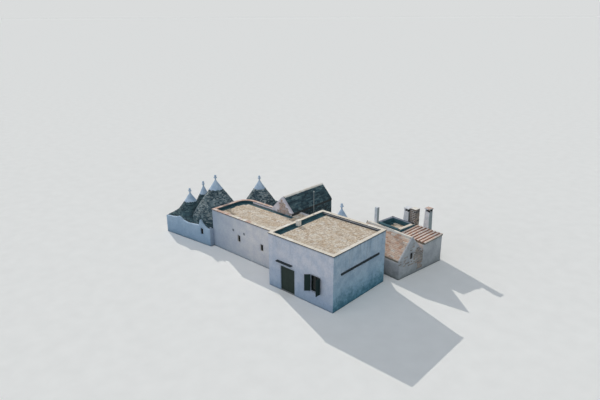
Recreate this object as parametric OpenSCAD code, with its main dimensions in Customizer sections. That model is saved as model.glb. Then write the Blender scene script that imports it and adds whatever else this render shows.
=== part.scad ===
// Trullo farmhouse: a flat-roofed main block, a lower middle block, a wing of dry-stone
// cones, a steep stone-roofed gable house and a low rear wing with its annexes.
// Millimetres, +Z up. The origin is the middle of the main room at ground level,
// the front faces -Y and the trullo wing lies towards -X.

/* [Main block] */
// Length of the front of the main block
main_w = 6580; // [6200:20:7400]
// Depth of the main block
main_d = 6580; // [6200:20:7400]
// Height of the main block to the top of its coping
main_h = 4600; // [4300:20:5000]
// Thickness of the straight stone walls
wall_t = 500; // [400:10:600]
// Thickness of the floors above the ground
floor_t = 80; // [50:5:150]
// Thickness of the flat roof slabs
slab_t = 200; // [150:10:260]
// Height of the parapets above the roof slab
parapet_h = 250; // [180:10:350]
// Thickness of the parapets
parapet_t = 250; // [200:10:320]
// Thickness of the coping on the parapets
coping_t = 50; // [30:5:80]
// How far the coping stands out from the walls
coping_over = 50; // [20:5:80]
// Thickness of the stone paving on the flat roofs
paving_t = 50; // [30:5:80]

/* [Front door] */
// Distance of the door from the left end of the front
door_x = 1300; // [1000:20:1700]
// Width of the door opening
door_w = 1480; // [1300:20:1600]
// Height of the door opening above the floor
door_h = 2080; // [1950:10:2250]
// Distance from the face of the wall to the door frame
door_recess = 60; // [30:5:100]
// Face width of the door frame
frame_w = 55; // [40:5:80]
// Depth of the door frame
frame_d = 75; // [60:5:100]
// Thickness of a door leaf
leaf_t = 40; // [32:2:50]
// Gap between a leaf and its jamb
leaf_gap = 10; // [8:1:14]
// Gap between the two leaves
meeting_gap = 6; // [5:1:10]
// Width of the stiles and rails of a leaf
stile_w = 85; // [70:5:110]
// Depth of the sunk panels of a leaf on each face
panel_sink = 10; // [6:1:14]
// Radius of the hinge pins
pin_r = 6; // [5:0.5:8]
// Clearance between a hinge pin and its eye
pin_gap = 0.1; // [0.05:0.05:0.3]
// Wall of a hinge eye around its pin
eye_wall = 6; // [5:0.5:8]
// Height of a hinge eye
eye_h = 40; // [30:5:60]
// Length of a hinge strap
strap_l = 280; // [200:10:360]
// Depth of the thin canopy slab over the door
canopy_d = 280; // [200:10:400]
// Thickness of the canopy slab
canopy_t = 55; // [40:5:80]
// Distance of the canopy from the left end of the front
canopy_x = 950; // [800:10:1200]
// Length of the canopy slab
canopy_l = 1640; // [1500:10:1900]
// Height of the wall between the door head and the canopy
canopy_above = 340; // [250:10:450]

/* [Front window] */
// Distance of the window from the left end of the front
win_x = 4400; // [4200:20:4700]
// Width of the window opening
win_w = 950; // [800:10:1050]
// Height of the window sill above the ground
win_z = 1080; // [900:10:1250]
// Height of the window opening
win_h = 1370; // [1200:10:1500]
// Distance from the face of the wall to the window frame
win_recess = 110; // [80:10:200]
// Face width of the window frame members
win_frame = 50; // [40:5:70]
// Thickness of the panes
pane_t = 8; // [5:1:12]
// Thickness of a window shutter
shutter_t = 35; // [28:1:45]
// Angle by which the left shutter is open
shutter_left_open = 140; // [120:5:165]
// Thickness of the window sill slab
sill_t = 60; // [40:5:80]
// How far the window sill stands out
sill_over = 60; // [30:5:100]

/* [Roof mast] */
// Height of the thin mast above the coping of the main block
mast_h = 2100; // [1800:10:2300]
// Radius of the mast
mast_r = 20; // [15:1:30]
// Radius of the ball on its top
mast_ball_r = 60; // [40:5:80]
// Distance of the mast from the front of the main block
mast_y = 5300; // [5000:20:5900]

/* [Side ledge] */
// Height of the top of the thin ledge on the right side
ledge_z = 2930; // [2600:10:3300]
// Thickness of the ledge
ledge_t = 55; // [40:5:80]
// Depth of the ledge
ledge_d = 120; // [80:10:200]
// Distance of the ledge from the front of the block
ledge_y = 850; // [600:10:1200]
// Length of the ledge
ledge_l = 4850; // [4000:10:5200]

/* [Middle block] */
// Length of the middle block
mid_w = 9400; // [8800:20:10000]
// Depth of the middle block
mid_d = 4230; // [4000:10:4600]
// Distance of its front behind the front of the main block
mid_back = 1870; // [1500:10:1960]
// Height of the middle block to the top of its coping
mid_h = 3680; // [3500:10:3900]
// Radius of its rounded rear corner
corner_r = 1300; // [900:20:1600]
// Distance of the left niche window from the main block
niche_a_x = 5910; // [5600:10:6300]
// Distance of the right niche window from the main block
niche_b_x = 2960; // [2600:10:3400]
// Width of a niche window
niche_w = 340; // [260:10:420]
// Height of a niche window
niche_h = 610; // [500:10:700]
// Height of the niche window sills above the ground
niche_z = 1430; // [1200:10:1600]
// Distance from the face of a wall to the frame of a small window
niche_recess = 80; // [50:10:150]
// Radius of the round vents
vent_r = 65; // [50:5:90]
// Height of the vents above the ground
vent_z = 2375; // [2200:10:2600]
// Distance of the left vent from the main block
vent_a_x = 6480; // [6200:10:6800]
// Distance of the right vent from the main block
vent_b_x = 5040; // [4700:10:5300]
// Width of the inner doorways
pass_w = 900; // [800:10:1000]
// Height of the inner doorways above the floor
pass_h = 1450; // [1300:10:1480]

/* [Trullo wing] */
// Length of the trullo wing along the front
wing_w = 6250; // [6000:10:6600]
// Depth of the trullo wing at its right end
wing_d = 5550; // [5400:10:5900]
// How far its front stands out from the middle block at the right end
wing_out = 420; // [300:10:600]
// How much further its front stands out at the left end
wing_skew = 520; // [400:10:600]
// Thickness of the trullo walls
wing_t = 600; // [500:10:700]
// Height of the trullo walls
wing_wall_h = 1600; // [1590:10:1700]
// Thickness of the stone bed under the cones
bed_t = 150; // [120:10:200]
// Thickness of the dry-stone shells
shell_t = 320; // [260:10:380]
// Thickness of the low wall that edges the roof
upstand_t = 200; // [150:10:240]
// Width of the small trullo window
slit_w = 380; // [340:10:460]
// Height of the small trullo window
slit_h = 600; // [500:10:700]

/* [Cones] */
// Radius of the front cone
cone1_r = 1520; // [1450:10:1550]
// Height of the front cone above its bed
cone1_h = 2060; // [1900:10:2200]
// Radius of the big cone
cone2_r = 2600; // [2500:10:2620]
// Height of the big cone above its bed
cone2_h = 3680; // [3400:10:3800]
// Radius of the small cone
cone3_r = 1080; // [1000:10:1100]
// Height of the small cone above its bed
cone3_h = 2150; // [2000:10:2300]
// Radius of the rear cone
cone4_r = 1700; // [1600:10:1740]
// Height of the rear cone above its bed
cone4_h = 2480; // [2300:10:2600]
// Radius of the yard cone
cone5_r = 1450; // [1350:10:1500]
// Height of the yard cone above its bed
cone5_h = 2270; // [2150:10:2400]
// Height of the plastered cap of a cone
cap_h = 760; // [650:10:850]
// Height of the plastered cap of the big cone
big_cap_h = 860; // [750:10:950]
// Thickness of the plaster on the cap
cap_t = 45; // [30:5:60]
// Height of a pinnacle
pinnacle_h = 560; // [480:10:640]
// Radius of the ball on a pinnacle
ball_r = 105; // [85:5:125]
// Radius of the disc below the ball
disc_r = 165; // [130:5:190]

/* [Gable house] */
// Width of the gable house
gable_w = 2500; // [2300:10:2700]
// Length of the gable house behind the middle block
gable_l = 5400; // [5000:10:5800]
// Distance of its right side from the main block
gable_x = 2950; // [2800:10:3100]
// Rise of its roof above the eaves
gable_rise = 1300; // [1200:10:1400]
// Thickness of its walls
gable_t = 400; // [350:10:450]
// Thickness of its stone roof
gable_roof_t = 160; // [120:10:200]

/* [Rear wing] */
// Turn of the rear wing about the vertical
side_turn = -7.4; // [-9:0.2:-6]
// Distance of the left end of its ridge from the left of the main block
side_x = 2700; // [2600:10:2800]
// Distance of the left end of its ridge from the front of the main block
side_y = 9720; // [9650:10:9800]
// Length of its ridge
side_l = 4950; // [4800:10:5200]
// Half its width
side_half = 1550; // [1500:10:1600]
// Height of its ridge
side_ridge = 3400; // [3250:10:3600]
// Height of its eaves
side_eaves = 1650; // [1600:10:1750]
// Thickness of its walls
side_t = 400; // [350:10:450]
// Thickness of its roof
side_roof_t = 140; // [110:10:170]

/* [Annexes] */
// Height of the parapet of the sunken terrace
terrace_h = 2750; // [2650:10:2850]
// Depth of the terrace floor below its parapet
terrace_sink = 420; // [300:10:500]
// Length of the terrace block
terrace_l = 2600; // [2450:10:2700]
// Depth of the terrace block behind the wing
terrace_d = 2250; // [2150:10:2400]
// Thickness of the annex walls
annex_t = 300; // [250:10:350]
// Depth of the tiled annex behind the wing
annex_d = 2600; // [2500:10:2900]
// Height of the front of the tiled roof
annex_h = 2400; // [2300:10:2450]
// Rise of the tiled roof towards the rear
annex_rise = 150; // [50:10:180]
// Thickness of the tiled roof
tile_t = 110; // [80:5:140]
// Height of the white oven chimney
oven_h = 4400; // [4200:10:4600]
// Width of the white oven chimney
oven_w = 550; // [500:10:650]

/* [Hidden] */
$fn = 128;
over = 1;

// Small details
seam_turn = 135;
cap_seat = 60;
cap_gap = 0.5;
apex_r = 80;
neck_r = 65;
disc_t = 90;
disc_share = 0.42;
block_w = 330;
block_y = 2870;
block_rise = 220;

// Levels of the flat roofs
main_wall_h = main_h - coping_t - parapet_h - slab_t;
main_deck = main_wall_h + slab_t;
mid_wall_h = mid_h - coping_t - parapet_h - slab_t;
mid_deck = mid_wall_h + slab_t;
mid_rear = mid_back + mid_d;

// Inner doorways
tall_pass_h = 2000;
pass_in = 1650;
wing_pass_in = 1700;
pass_y = mid_back + pass_in;
wing_pass_y = mid_back + wing_pass_in;

// Door leaves and hinges
leaf_w = (door_w - 2 * frame_w - 2 * leaf_gap - meeting_gap) / 2;
leaf_lift = 10;
leaf_drop = 8;
leaf_h = door_h - frame_w - leaf_lift - leaf_drop;
eye_r = pin_r + pin_gap + eye_wall;
axis_y = door_recess - eye_r - 5;
axis_in = frame_w + leaf_gap - 4;
strap_t = 8;
hinge_heights = [250, leaf_h / 2, leaf_h - 250];
seat_gap = 0.3;
bracket_h = 20;
bracket_r = eye_r - 3;
bracket_l = 30;
pin_proud = 5;
mid_rail_share = 0.42;

// Plan of the trullo wing
wing_right = -mid_w;
wing_y = mid_back - wing_out;
wing_left = wing_right - wing_w;
wing_turn = atan2(wing_skew, wing_w);
front_l = sqrt(wing_w * wing_w + wing_skew * wing_skew);
slit_x = 4970;
slit_head = 30;
slit_z = wing_wall_h - slit_h - slit_head;
niche_frame = 35;
niche_frame_d = 50;
wing_rear = wing_y + wing_d;
bed_top = wing_wall_h + bed_t;
cone1_in = [1350, 2070];
cone2_in = [2300, 2810];
cone3_in = [740, 3700];
cone1_at = [wing_left + cone1_in[0], wing_y - wing_skew + cone1_in[1]];
cone2_at = [wing_right - cone2_in[0], wing_y + cone2_in[1]];
cone3_at = [wing_left + cone3_in[0], wing_y + cone3_in[1]];

// Plans of the rear and yard trulli
rear_spare = 50;
rear_in = 850;
rear_side = 2 * (cone4_r + rear_spare);
rear_at = [wing_right - rear_in, wing_rear + rear_side / 2];
yard_left = -750;
yard_side_gap = 100;
yard_right = side_x - yard_side_gap;
yard_front = main_d;
yard_d = 3320;
yard_rear = yard_front + yard_d;
yard_shift = 75;
yard_at = [(yard_left + yard_right) / 2 - yard_shift, (yard_front + yard_rear) / 2];
low_wall_h = 2000;
low_bed_top = low_wall_h + bed_t;
trullo_t = 450;

// Gable house
gable_right = -gable_x;
gable_left = -gable_x - gable_w;
gable_rear = mid_rear + gable_l;
gable_front_t = 300;

gable_mid = gable_right - gable_w / 2;
gable_pitch = 2 * gable_rise / gable_w;

// Link room between the middle block and the yard trullo
link_step_x = -1700;
link_step_d = 1000;
link_d = 2400;
link_step_y = mid_rear + link_step_d;
link_rear = mid_rear + link_d;
link_t = 250;
kerb_h = 120;

// Rear wing
side_pitch = (side_ridge - side_eaves) / side_half;
side_pull = 1200;
verge_t = 150;
verge_rise = 40;
loop_w = 350;
loop_h = 600;
loop_z = 1420;

// Annexes behind the rear wing, along its ridge and behind it
terrace_x = -350;
annex_x = terrace_x + terrace_l;
terrace_y1 = side_half + terrace_d;
annex_y1 = side_half + annex_d;
terrace_floor = terrace_h - terrace_sink;
corner_lap = 50;
annex_in = min(annex_y1 - annex_t, terrace_y1 - corner_lap);
tile_over = 60;
oven_u = annex_x + 650;
stack_u = terrace_x + 1220;
stack_w = 580;
stack_taper = 0.86;
stack_h = 3980;
stub_w = 580;
stub_gap = 20;
stub_u = annex_x - stub_w - stub_gap;
stub_h = 4100;
pillar_w = 280;
pillar_h = 4800;
pillar_u = 560;
pillar_v = 170;

module site() { translate([-main_w / 2, -main_d / 2, 0]) children(); }

module box(x0, y0, z0, x1, y1, z1) {
    translate([x0, y0, z0]) cube([x1 - x0, y1 - y0, z1 - z0]);
}

// Outline of the middle block with its rounded rear left corner, pulled in by "in"
module midPlan(in) {
    r = corner_r - in;
    x0 = -mid_w + in;
    y1 = mid_rear - in;
    union() {
        translate([x0, mid_back + in]) square([mid_w - 2 * in, mid_d - 2 * in - r]);
        translate([x0 + r, mid_back + in]) square([mid_w - 2 * in - r, mid_d - 2 * in]);
        translate([x0 + r, y1 - r]) circle(r);
    }
}

module midRing(in, out, z, h) {
    translate([0, 0, z]) linear_extrude(h) difference() {
        midPlan(in);
        midPlan(out);
    }
}

// Outer solid of a cone above its bed
module coneSolid(at, r, h) {
    translate([at[0], at[1], bed_top]) cylinder(h = h, r1 = r, r2 = 0);
}

// Dry-stone shell of a cone, open below and closed by its plastered cap
module coneShell(at, r, h, z, cap, turn = 0) {
    k = h / r;
    top = h - cap + cap_seat;
    translate([at[0], at[1], z]) rotate([0, 0, turn]) rotate_extrude() polygon([
        [r - shell_t, 0], [r, 0], [r - top / k, top], [r - top / k - shell_t, top]]);
}

// Plastered cap that sits on a stone shell
module coneCap(at, r, h, z, cap) {
    k = h / r;
    foot = cap / k + cap_gap;
    lid = cap_seat + cap_gap;
    translate([at[0], at[1], z + h - cap]) rotate_extrude() polygon([
        [foot, 0], [foot + cap_t, 0], [apex_r, cap], [0, cap], [0, lid], [foot - lid / k, lid]]);
}

module pinnacle(at, h, z) {
    translate([at[0], at[1], z + h]) {
        cylinder(h = pinnacle_h - ball_r, r = neck_r);
        translate([0, 0, pinnacle_h * disc_share]) cylinder(h = disc_t, r = disc_r);
        translate([0, 0, pinnacle_h - ball_r]) sphere(ball_r);
    }
}

// Plan of the trullo wing: square to its own front, cut off at the middle block
module wingPlan() {
    intersection() {
        translate([wing_left, wing_y - wing_skew]) rotate(wing_turn) square([wing_w + wing_d, 2 * wing_d]);
        translate([wing_left - wing_d, wing_y - 2 * wing_skew])
            square([wing_w + wing_d, wing_d + 2 * wing_skew]);
    }
}

// Strip of the trullo wing's plan behind its front, from depth v0 to depth v1
module wingBand(v0, v1) {
    translate([wing_left, wing_y - wing_skew]) rotate(wing_turn)
        translate([-over, v0]) square([wing_w + wing_d, v1 - v0]);
}

module onFront() {
    translate([wing_left, wing_y - wing_skew, 0]) rotate([0, 0, wing_turn]) children();
}

module onSide() {
    translate([side_x, side_y, 0]) rotate([0, 0, side_turn]) children();
}

// What lies to the right of the yard trullo by more than "off"
module rightOfYard(off = 0) {
    intersection() {
        children();
        box(yard_right + off, main_d, -over, yard_right + 3 * side_l, main_d + 3 * side_l, 3 * side_ridge);
    }
}

// Cross-section of a pitched roof's slab; "top" is the ridge and "t" its upright thickness
module roofSection(half, pitch, top, t) {
    polygon([[-half, top - pitch * half], [0, top], [half, top - pitch * half],
        [half, top - pitch * half - t], [0, top - t], [-half, top - pitch * half - t]]);
}

// Cross-section of what stands below a pitched roof, from "low" upwards
module underSection(half, pitch, top, low) {
    polygon([[-half, low], [half, low], [half, top - pitch * half], [0, top],
        [-half, top - pitch * half]]);
}

// Cross-section of one long wall below a pitched roof; "side" is -1 or 1
module wallSection(side, half, t, pitch, top) {
    polygon([[side * half, 0], [side * half, top - pitch * half],
        [side * (half - t), top - pitch * (half - t)], [side * (half - t), 0]]);
}

// Runs a cross-section back along the gable house from y0 to y1
module alongGable(y0, y1) {
    translate([gable_mid, y1, 0]) rotate([90, 0, 0]) linear_extrude(y1 - y0) children();
}

// Runs a cross-section along the rear wing's ridge from u0 to u1
module alongSide(u0, u1) {
    onSide() translate([u0, 0, 0]) rotate([90, 0, 90]) linear_extrude(u1 - u0) children();
}

module floors() {
    color("tan") site() {
        box(wall_t, wall_t, 0, main_w - wall_t, main_d - wall_t, floor_t);
        box(door_x, 0, 0, door_x + door_w, wall_t, floor_t);
        linear_extrude(floor_t) midPlan(wall_t);
        linear_extrude(floor_t) difference() {
            intersection() {
                wingPlan();
                wingBand(wing_t, 2 * wing_d);
                translate([wing_left - wing_d, 0]) square([wing_w + wing_d - wing_t, wing_rear - wing_t]);
            }
            wingLeftPlan();
        }
        box(gable_left + gable_t, mid_rear, 0, gable_right - gable_t, gable_rear - gable_t, floor_t);
        trulloFloor(rear_at, rear_side);
        box(yard_left + trullo_t, yard_front + trullo_t, 0, yard_right - trullo_t,
            yard_rear - trullo_t, floor_t);
        rightOfYard(side_t) onSide()
            box(-side_pull, -side_half + side_t, 0, side_l - side_t, side_half - side_t, floor_t);
    }
}

module trulloFloor(at, side) {
    h = side / 2 - trullo_t;
    box(at[0] - h, at[1] - h, 0, at[0] + h, at[1] + h, floor_t);
}

module main_wall_front_left() {
    color("white") site() box(0, 0, 0, door_x, wall_t, main_wall_h);
}

module main_wall_over_door() {
    color("white") site()
        box(door_x, 0, floor_t + door_h, door_x + door_w, wall_t, main_wall_h);
}

module main_wall_front_right() {
    color("white") site() difference() {
        box(door_x + door_w, 0, 0, main_w, wall_t, main_wall_h);
        box(win_x, -over, win_z, win_x + win_w, wall_t + over, win_z + win_h);
    }
}

module main_wall_right() {
    color("white") site() box(main_w - wall_t, wall_t, 0, main_w, main_d - wall_t, main_wall_h);
}

module main_wall_back() {
    color("white") site() box(0, main_d - wall_t, 0, main_w, main_d, main_wall_h);
}

module main_wall_left() {
    color("white") site() difference() {
        box(0, wall_t, 0, wall_t, main_d - wall_t, main_wall_h);
        box(-over, pass_y, floor_t, wall_t + over, pass_y + pass_w, floor_t + tall_pass_h);
    }
}

module main_roof() {
    color("tan") site() {
        box(0, 0, main_wall_h, main_w, main_d, main_deck);
        box(parapet_t, parapet_t, main_wall_h, main_w - parapet_t, main_d - parapet_t,
            main_deck + paving_t);
    }
}

module squareRing(t, out, z, h) {
    translate([0, 0, z]) difference() {
        translate([-out, -out, 0]) cube([main_w + 2 * out, main_d + 2 * out, h]);
        translate([t, t, -over]) cube([main_w - 2 * t, main_d - 2 * t, h + 2 * over]);
    }
}

module main_parapet() {
    color("white") site() {
        squareRing(parapet_t, 0, main_deck, parapet_h);
        box(parapet_t - over, block_y, main_deck + paving_t, parapet_t + block_w,
            block_y + block_w, main_deck + parapet_h - over);
        box(parapet_t, block_y, main_deck + paving_t, parapet_t + block_w, block_y + block_w,
            main_h + block_rise);
    }
}

module main_coping() {
    color("lightgray") site() squareRing(parapet_t, coping_over, main_h - coping_t, coping_t);
}

// Thin mast with a ball and a foot plate, on the coping of the left parapet
module roof_mast() {
    foot_r = 3 * mast_r;
    color("gray") site() translate([parapet_t / 2, mast_y, main_h]) {
        cylinder(h = mast_r, r = foot_r);
        cylinder(h = mast_h - mast_ball_r, r = mast_r);
        translate([0, 0, mast_h - mast_ball_r]) sphere(mast_ball_r);
    }
}

module door_canopy() {
    z = floor_t + door_h + canopy_above;
    color("dimgray") site()
        box(canopy_x, -canopy_d, z, canopy_x + canopy_l, 0, z + canopy_t);
}

module side_ledge() {
    color("dimgray") site()
        box(main_w, ledge_y, ledge_z - ledge_t, main_w + ledge_d, ledge_y + ledge_l, ledge_z);
}

// One side's fixed hinge brackets and pins, at the left jamb
module hingeBrackets() {
    for (h = hinge_heights) {
        z = floor_t + leaf_lift + h - eye_h / 2 - seat_gap - bracket_h;
        translate([axis_in, axis_y, z]) {
            cylinder(h = bracket_h, r = bracket_r);
            translate([-bracket_l, -bracket_r, 0]) cube([bracket_l, 2 * bracket_r, bracket_h]);
            translate([-bracket_l, 0, 0]) cube([bracket_h, door_recess - axis_y, bracket_h]);
            cylinder(h = bracket_h + seat_gap + eye_h + pin_proud, r = pin_r);
        }
    }
}

module onBothJambs() {
    translate([door_x, 0, 0]) children();
    translate([door_x + door_w, 0, 0]) mirror([1, 0, 0]) children();
}

module door_frame() {
    color("darkgreen") site() {
        difference() {
            box(door_x, door_recess, floor_t, door_x + door_w, door_recess + frame_d, floor_t + door_h);
            box(door_x + frame_w, door_recess - over, floor_t - over, door_x + door_w - frame_w,
                door_recess + frame_d + over, floor_t + door_h - frame_w);
        }
        onBothJambs() hingeBrackets();
    }
}

// Left leaf, closed, measured from the left jamb of the opening
module leaf() {
    x0 = frame_w + leaf_gap;
    z0 = floor_t + leaf_lift;
    mid = leaf_h * mid_rail_share;
    difference() {
        union() {
            difference() {
                box(x0, door_recess, z0, x0 + leaf_w, door_recess + leaf_t, z0 + leaf_h);
                for (side = [-1, 1]) {
                    y = side < 0 ? door_recess - over : door_recess + leaf_t - panel_sink;
                    for (span = [[stile_w, mid], [mid + stile_w, leaf_h - stile_w]])
                        box(x0 + stile_w, y, z0 + span[0], x0 + leaf_w - stile_w,
                            y + panel_sink + over, z0 + span[1]);
                }
            }
            for (h = hinge_heights) {
                translate([axis_in, axis_y, z0 + h - eye_h / 2]) cylinder(h = eye_h, r = eye_r);
                translate([axis_in, door_recess - strap_t, z0 + h - eye_h / 2])
                    cube([strap_l, strap_t, eye_h]);
            }
        }
        for (h = hinge_heights)
            translate([axis_in, axis_y, z0 + h - eye_h / 2 - over])
                cylinder(h = eye_h + 2 * over, r = pin_r + pin_gap);
    }
}

module door_leaf_left() {
    color("darkgreen") site() translate([door_x, 0, 0]) leaf();
}

module door_leaf_right() {
    color("darkgreen") site() translate([door_x + door_w, 0, 0]) mirror([1, 0, 0]) leaf();
}

module window_frame() {
    x1 = win_x + win_w;
    z1 = win_z + win_h;
    color("white") site() difference() {
        box(win_x, win_recess, win_z, x1, win_recess + frame_d, z1);
        for (side = [0, 1])
            box(win_x + win_frame + side * (win_w - win_frame) / 2, win_recess - over,
                win_z + win_frame,
                win_x + win_w / 2 - win_frame / 2 + side * (win_w - win_frame) / 2,
                win_recess + frame_d + over, z1 - win_frame);
    }
}

module window_panes() {
    y = win_recess + frame_d / 2;
    pane_w = (win_w - 3 * win_frame) / 2;
    color("lightblue", 0.5) site() for (side = [0, 1])
        box(win_x + win_frame + side * (pane_w + win_frame), y, win_z + win_frame,
            win_x + win_frame + pane_w + side * (pane_w + win_frame), y + pane_t,
            win_z + win_h - win_frame);
}

// A shutter whose outer hinge edge is at the origin, closed along +X
module shutter() {
    w = win_w / 2 - 5;
    difference() {
        cube([w, shutter_t, win_h]);
        for (side = [0, 1])
            translate([win_frame, side == 0 ? -over : shutter_t - panel_sink, win_frame])
                cube([w - 2 * win_frame, panel_sink + over, win_h - 2 * win_frame]);
    }
}

module window_shutters() {
    color("darkgreen") site() {
        translate([win_x, -seat_gap, win_z]) rotate([0, 0, -shutter_left_open]) shutter();
        translate([win_x + win_w, -seat_gap, win_z]) rotate([0, 0, 90]) mirror([1, 0, 0]) shutter();
    }
}

module window_sill() {
    color("lightgray") site()
        box(win_x - sill_over, -sill_over, win_z - sill_t, win_x + win_w + sill_over, 0, win_z);
}

module nicheCut(x, w, h, z) {
    box(-x, mid_back - over, z, w - x, mid_back + wall_t + over, z + h);
}

module middle_wall_front() {
    color("white") site() difference() {
        box(-mid_w, mid_back, 0, 0, mid_back + wall_t, mid_wall_h);
        nicheCut(niche_a_x, niche_w, niche_h, niche_z);
        nicheCut(niche_b_x, niche_w, niche_h, niche_z);
        for (x = [vent_a_x, vent_b_x])
            translate([-x, mid_back - over, vent_z]) rotate([-90, 0, 0])
                cylinder(h = wall_t + 2 * over, r = vent_r);
    }
}

module middle_wall_left() {
    color("white") site() difference() {
        box(-mid_w, mid_back + wall_t, 0, wall_t - mid_w, mid_rear - corner_r, mid_wall_h);
        box(-mid_w - over, wing_pass_y, floor_t, wall_t - mid_w + over, wing_pass_y + pass_w,
            floor_t + pass_h);
    }
}

module middle_wall_back() {
    color("white") site() difference() {
        linear_extrude(mid_wall_h) intersection() {
            difference() {
                midPlan(0);
                midPlan(wall_t);
            }
            union() {
                translate([-mid_w - over, mid_rear - corner_r]) square([corner_r + over, corner_r + over]);
                translate([corner_r - mid_w - over, mid_rear - wall_t]) square([mid_w, wall_t]);
            }
        }
        box(gable_mid - pass_w / 2, mid_rear - wall_t - over, floor_t, gable_mid + pass_w / 2,
            mid_rear + over, floor_t + tall_pass_h);
    }
}

// Plan of the flat roof behind the middle block; "in" leaves room for its kerb
module linkPlan(in) {
    translate([gable_right, mid_rear - over])
        square([yard_left - gable_right, link_step_y - mid_rear + over - in]);
    translate([link_step_x + in, mid_rear]) square([yard_left - link_step_x - in, link_rear - mid_rear - in]);
    translate([yard_left - over, mid_rear - over]) square([over - yard_left, main_d - mid_rear + over]);
}

module middle_roof() {
    color("tan") site() {
        translate([0, 0, mid_wall_h]) linear_extrude(slab_t) union() {
            midPlan(0);
            linkPlan(0);
        }
        translate([0, 0, mid_wall_h]) linear_extrude(slab_t + paving_t) difference() {
            union() {
                midPlan(parapet_t);
                translate([gable_right, mid_back + parapet_t]) square([gable_x, mid_d - parapet_t]);
                linkPlan(parapet_t);
            }
            translate([gable_left, mid_rear - gable_front_t]) square([gable_w, gable_front_t + over]);
        }
    }
}

// The back edges of the link room, as one strip of thickness t
module linkStrip(t) {
    translate([gable_right, link_step_y - t]) square([link_step_x - gable_right + t, t]);
    translate([link_step_x, link_step_y - t]) square([t, link_rear - link_step_y + t]);
    translate([link_step_x, link_rear - t]) square([yard_left - link_step_x, t]);
}

module link_walls() {
    color("white") site() linear_extrude(mid_wall_h) {
        linkStrip(link_t);
        translate([yard_left - link_t, mid_rear]) square([link_t, link_rear - mid_rear]);
        translate([yard_left - link_t, mid_rear]) square([link_t - yard_left, main_d - mid_rear]);
    }
}

module middle_parapet() {
    color("white") site() {
        difference() {
            midRing(0, parapet_t, mid_deck, parapet_h);
            box(gable_left, mid_back + parapet_t, mid_deck - over, over, mid_rear + over, mid_h);
        }
        translate([0, 0, mid_deck]) linear_extrude(kerb_h) linkStrip(parapet_t);
    }
}

module middle_coping() {
    z = mid_h - coping_t;
    color("rosybrown") site() difference() {
        midRing(-coping_over, parapet_t + coping_over / 2, z, coping_t);
        box(gable_left, mid_back + parapet_t + coping_over, z - over, 2 * coping_over,
            mid_rear + 2 * coping_over, mid_h + over);
        box(0, mid_back - 2 * coping_over, z - over, 2 * coping_over, mid_rear, mid_h + over);
    }
}

module nicheFrame(x, w, h, z, y) {
    translate([x, y, z]) difference() {
        cube([w, niche_frame_d, h]);
        translate([niche_frame, -over, niche_frame])
            cube([w - 2 * niche_frame, niche_frame_d + 2 * over, h - 2 * niche_frame]);
    }
}

module niche_windows() {
    y = mid_back + niche_recess;
    color("saddlebrown") site() {
        nicheFrame(-niche_a_x, niche_w, niche_h, niche_z, y);
        nicheFrame(-niche_b_x, niche_w, niche_h, niche_z, y);
        onFront() nicheFrame(slit_x, slit_w, slit_h, slit_z, niche_recess);
        onSide() translate([side_l - niche_recess, 0, 0]) rotate([0, 0, 90])
            nicheFrame(-loop_w / 2, loop_w, loop_h, loop_z, 0);
    }
}

// The crest lists, from left to right, shares of the front's length and rises above its walls
module wing_wall_front() {
    crest = [[0, 120], [0.16, 190], [0.25, 290], [0.29, 420], [0.34, 320], [0.38, 160], [0.5, 50],
        [0.76, 180], [0.79, 780], [0.82, 540], [0.88, 210], [0.97, 20], [1, 250]];
    color("white") site() difference() {
        union() {
            linear_extrude(wing_wall_h) intersection() {
                wingPlan();
                wingBand(0, wing_t);
            }
            intersection() {
                onFront() translate([0, upstand_t, 0]) rotate([90, 0, 0]) linear_extrude(upstand_t)
                    polygon(concat([[0, wing_wall_h - over]],
                        [for (p = crest) [p[0] * front_l, wing_wall_h + p[1]]],
                        [[front_l, wing_wall_h - over]]));
                linear_extrude(2 * wing_wall_h) wingPlan();
            }
        }
        onFront() box(slit_x, -over, slit_z, slit_x + slit_w, wing_t + over, slit_z + slit_h);
    }
}

module wingLeftPlan() {
    intersection() {
        wingPlan();
        translate([wing_left, wing_y - wing_skew]) rotate(wing_turn)
            translate([-over, wing_t]) square([wing_t + over, 2 * wing_d]);
        translate([wing_left - wing_d, -wing_d]) square([wing_w + wing_d, wing_rear - wing_t + wing_d]);
    }
}

module wing_wall_left() {
    color("white") site() linear_extrude(wing_wall_h) wingLeftPlan();
}

module wing_wall_back() {
    color("white") site() linear_extrude(wing_wall_h) intersection() {
        wingPlan();
        translate([wing_left - wing_d, wing_rear - wing_t]) square([wing_w + wing_d, wing_t]);
    }
}

module wing_wall_right() {
    color("white") site() difference() {
        linear_extrude(wing_wall_h) intersection() {
            wingPlan();
            wingBand(wing_t, 2 * wing_d);
            translate([wing_right - wing_t, 0]) square([wing_t, wing_rear - wing_t]);
        }
        box(wing_right - wing_t - over, wing_pass_y, floor_t, wing_right + over, wing_pass_y + pass_w,
            floor_t + pass_h);
    }
}

module wing_bed() {
    color("dimgray") site() translate([0, 0, wing_wall_h]) linear_extrude(bed_t) difference() {
        intersection() {
            wingPlan();
            wingBand(upstand_t, 2 * wing_d);
        }
        for (c = [[cone1_at, cone1_r], [cone2_at, cone2_r], [cone3_at, cone3_r]])
            translate(c[0]) circle(c[1] - shell_t);
    }
}

module cone_front() {
    color("gray") site() difference() {
        coneShell(cone1_at, cone1_r, cone1_h, bed_top, cap_h);
        coneSolid(cone2_at, cone2_r, cone2_h);
    }
}

module cone_big() {
    color("gray") site() difference() {
        coneShell(cone2_at, cone2_r, cone2_h, bed_top, big_cap_h);
        box(wing_right, 0, 0, 0, mid_rear + cone2_r, mid_h);
    }
}

module cone_small() {
    color("gray") site() difference() {
        coneShell(cone3_at, cone3_r, cone3_h, bed_top, cap_h, seam_turn);
        coneSolid(cone1_at, cone1_r, cone1_h);
        coneSolid(cone2_at, cone2_r, cone2_h);
    }
}

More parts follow.
